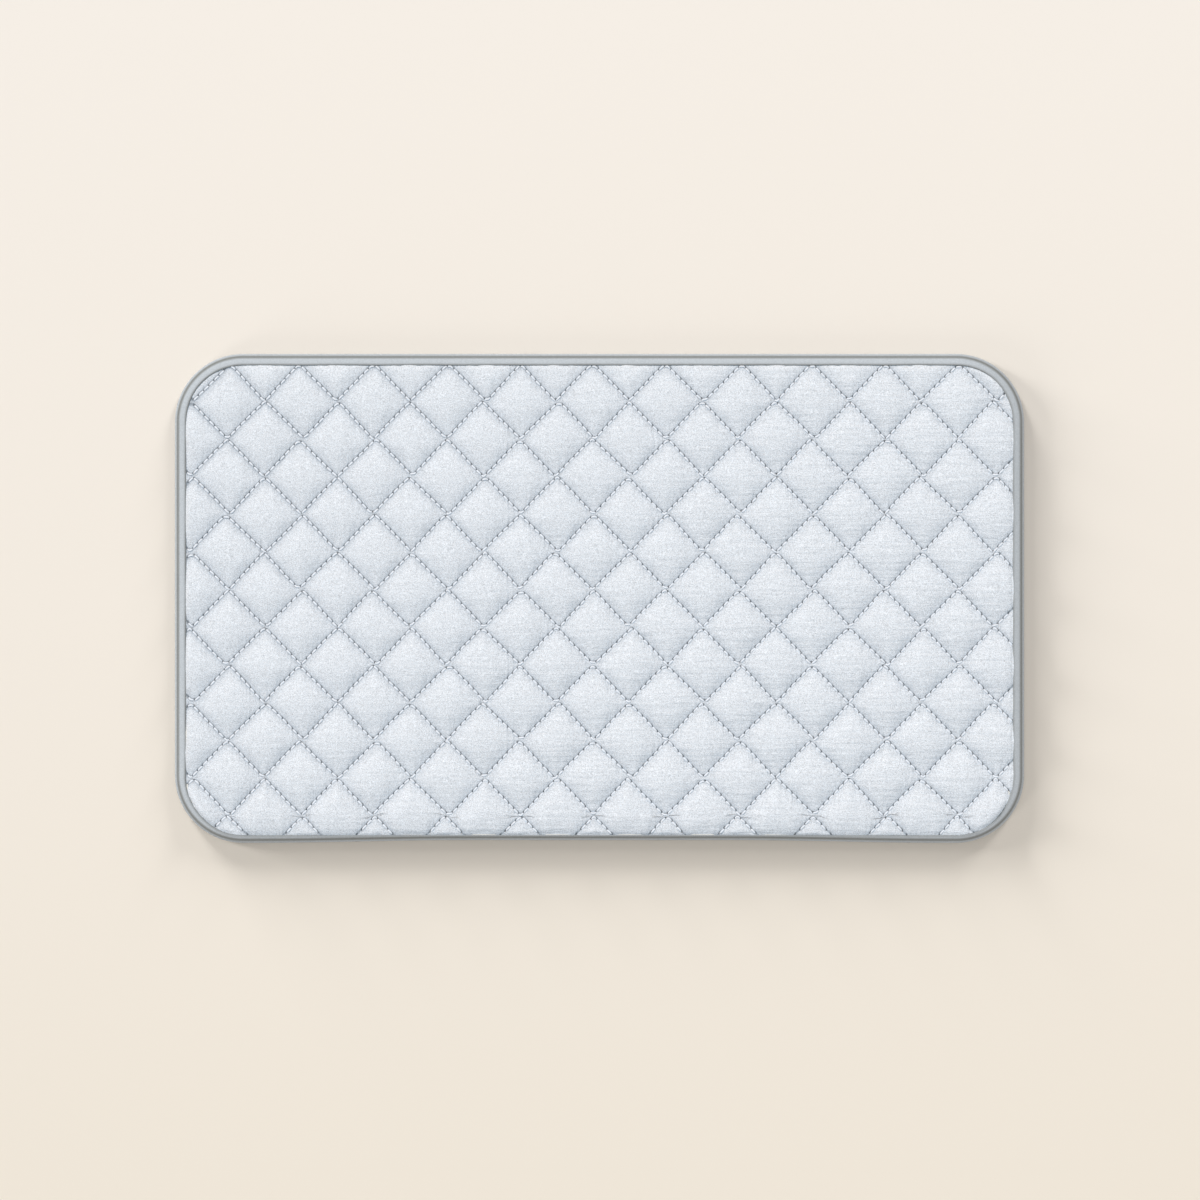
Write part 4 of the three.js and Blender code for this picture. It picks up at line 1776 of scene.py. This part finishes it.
PAD_LAMPS = (
    Lamp("key", (0.545, 0.475, 0.425), 113.0, 52.5, 24.0),
    Lamp("cool_fill", (0.0, 0.07, 0.12), 113.0, 85.0, 60.0),
)
TAPE_LAMPS = (
    Lamp("tape_key", (0.46, 0.47, 0.48), 130.0, 38.0, 24.0),
    Lamp("tape_low_fill", (0.035, 0.035, 0.035), 310.0, 8.0, 24.0),
)
FLOOR_LAMPS = (
    Lamp("low_upper_right", (0.142, 0.142, 0.142), 60.0, 9.0, 12.0),
    Lamp("low_upper_left", (0.194, 0.194, 0.194), 120.0, 6.0, 12.0),
    Lamp("low_left", (0.155, 0.155, 0.155), 160.0, 6.0, 12.0),
    Lamp("low_lower_left", (0.06, 0.06, 0.06), 220.0, 6.0, 12.0),
)


@dataclass(frozen=True)
class Studio:
    """The table top, the lamps and the camera.

    picture_height: how much of the table the picture takes in, from top to bottom. eye_x, eye_y: the place
    that the camera looks straight down on. sharp_level: the level at which the picture has that height.
    """

    floor_reach: float = 24.0
    floor_steps: int = 24
    floor_top_colour: tuple[int, int, int] = (246, 239, 230)
    floor_middle_colour: tuple[int, int, int] = (243, 235, 224)
    floor_bottom_colour: tuple[int, int, int] = (239, 230, 216)
    picture_height: float = 1.1936
    lens: float = 100.0
    sensor: float = 36.0
    eye_x: float = 0.45 * MM
    eye_y: float = -2.5 * MM
    sharp_level: float = 8.0 * MM
    world_light: float = 0.45

    def floor(self) -> bpy.types.Object:
        """Makes the table top: a wide sheet whose colour warms and darkens towards the viewer."""
        reach = np.linspace(-self.floor_reach, self.floor_reach, self.floor_steps + 1)
        x, y = np.meshgrid(reach, reach[::-1])
        points = np.stack([x, y, np.zeros_like(x)], axis=-1).reshape(-1, 3)
        data = bpy.data.meshes.new("table_top")
        data.from_pydata(points, [], grid_faces(len(reach), len(reach)))
        material, sheet, shader = started_material("table_top")
        shader.inputs["Roughness"].default_value = 1.0
        shader.inputs["Specular IOR Level"].default_value = 0.0
        split = sheet.split(sheet.add("ShaderNodeTexCoord").outputs["Object"])
        share = sheet.math("MULTIPLY_ADD", split["Y"], 1.0 / self.picture_height, 0.5)
        ramp = sheet.add("ShaderNodeValToRGB")
        sheet.feed(ramp.inputs[0], share)
        ramp.color_ramp.elements[0].color = linear(self.floor_bottom_colour)
        ramp.color_ramp.elements[1].color = linear(self.floor_top_colour)
        ramp.color_ramp.elements.new(0.5).color = linear(self.floor_middle_colour)
        sheet.feed(shader.inputs["Base Color"], ramp.outputs[0])
        data.materials.append(material)
        floor = bpy.data.objects.new("table_top", data)
        bpy.context.scene.collection.objects.link(floor)
        return floor

    @staticmethod
    def sun(lamp: Lamp, receivers: bpy.types.Collection) -> None:
        """Adds a far lamp that lights level ground by given shares of plain white.

        Formula: the lamp's strength is pi times the share over the sine of its height, because level
        ground takes in that sine of it and a white surface gives back one part in pi.

        Args:
            lamp: what it is like.
            receivers: what it shines on.
        """
        data = bpy.data.lights.new(lamp.name, "SUN")
        data.energy = max(lamp.shares) * math.pi / math.sin(math.radians(lamp.height))
        data.color = [share / max(lamp.shares) for share in lamp.shares]
        data.angle = math.radians(lamp.spread)
        sun = bpy.data.objects.new(lamp.name, data)
        sun.rotation_euler = (0.0, math.radians(90.0 - lamp.height), math.radians(lamp.azimuth))
        sun.light_linking.receiver_collection = receivers
        bpy.context.scene.collection.objects.link(sun)

    @staticmethod
    def lit(name: str, pieces: list[bpy.types.Object], is_left_out: bool = False) -> bpy.types.Collection:
        """What a lamp shines on.

        Args:
            name: the collection's name.
            pieces: the pieces that it is about.
            is_left_out: whether the lamp shines on all but them, instead of on them alone.

        Returns:
            The collection for the lamp's light linking.
        """
        group = bpy.data.collections.new(name)
        for piece in pieces:
            group.objects.link(piece)
        for member in group.collection_objects:
            member.light_linking.link_state = "EXCLUDE" if is_left_out else "INCLUDE"
        return group

    def lights(self, floor: bpy.types.Object, tape: bpy.types.Object) -> None:
        """Sets the world and the lamps: soft ones for the pad and for its tape, and low ones for its shadow.

        Args:
            floor: the table top.
            tape: the binding's tape, which has lamps of its own.
        """
        world = bpy.data.worlds.new("studio")
        bpy.context.scene.world = world
        world.use_nodes = True
        world.node_tree.nodes.clear()
        sheet = NodeSheet(world.node_tree)
        background = sheet.add("ShaderNodeBackground")
        is_seen = sheet.add("ShaderNodeLightPath").outputs["Is Camera Ray"]
        strength = sheet.math("MULTIPLY_ADD", is_seen, 1.0 - self.world_light, self.world_light)
        sheet.feed(background.inputs["Color"], sheet.tinted(linear(self.floor_top_colour), is_seen))
        sheet.feed(background.inputs["Strength"], strength)
        output = sheet.add("ShaderNodeOutputWorld")
        sheet.feed(output.inputs["Surface"], background.outputs[0])
        groups = (
            (PAD_LAMPS, self.lit("all_but_tape_and_table", [floor, tape], is_left_out=True)),
            (TAPE_LAMPS, self.lit("tape_alone", [tape])),
            (FLOOR_LAMPS, self.lit("table_alone", [floor])),
        )
        for lamps, receivers in groups:
            for lamp in lamps:
                self.sun(lamp, receivers)

    def camera(self) -> None:
        """Hangs the camera over the middle of the picture, looking straight down."""
        data = bpy.data.cameras.new("eye")
        data.lens = self.lens
        data.sensor_width = self.sensor
        eye = bpy.data.objects.new("eye", data)
        distance = self.picture_height * self.lens / self.sensor
        eye.location = (self.eye_x, self.eye_y, distance + self.sharp_level)
        bpy.context.scene.collection.objects.link(eye)
        bpy.context.scene.camera = eye

    def built(self, tape: bpy.types.Object) -> None:
        """Makes the whole studio, with lamps that light the given tape alone."""
        self.lights(self.floor(), tape)
        self.camera()
        bpy.context.scene.view_settings.view_transform = "Standard"


def main() -> None:
    """Builds the pad piece by piece, then the studio round it."""
    logging.basicConfig(level=logging.INFO, format="%(message)s")
    low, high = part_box("edge_binding")
    outline = Outline((high[0] - low[0]) / 2.0 + SIDE_BULGE, (high[1] - low[1]) / 2.0 + TOP_BULGE)
    quilting = Quilting()
    grid = QuiltGrid.over(quilting, outline)
    finishes = Finishes()
    face = QuiltedFace(outline, quilting, grid)
    sub_assemblies = [
        face,
        Filling(outline, grid, face),
        QuiltedBack(outline, quilting, grid, face),
        EdgeBinding(outline, face),
    ]
    for part in sub_assemblies:
        pieces = part.built(finishes)
        log.info("%s: %d pieces", type(part).__name__, len(pieces))
    Studio().built(bpy.data.objects["edge_tape"])


if __name__ == "__main__":
    main()
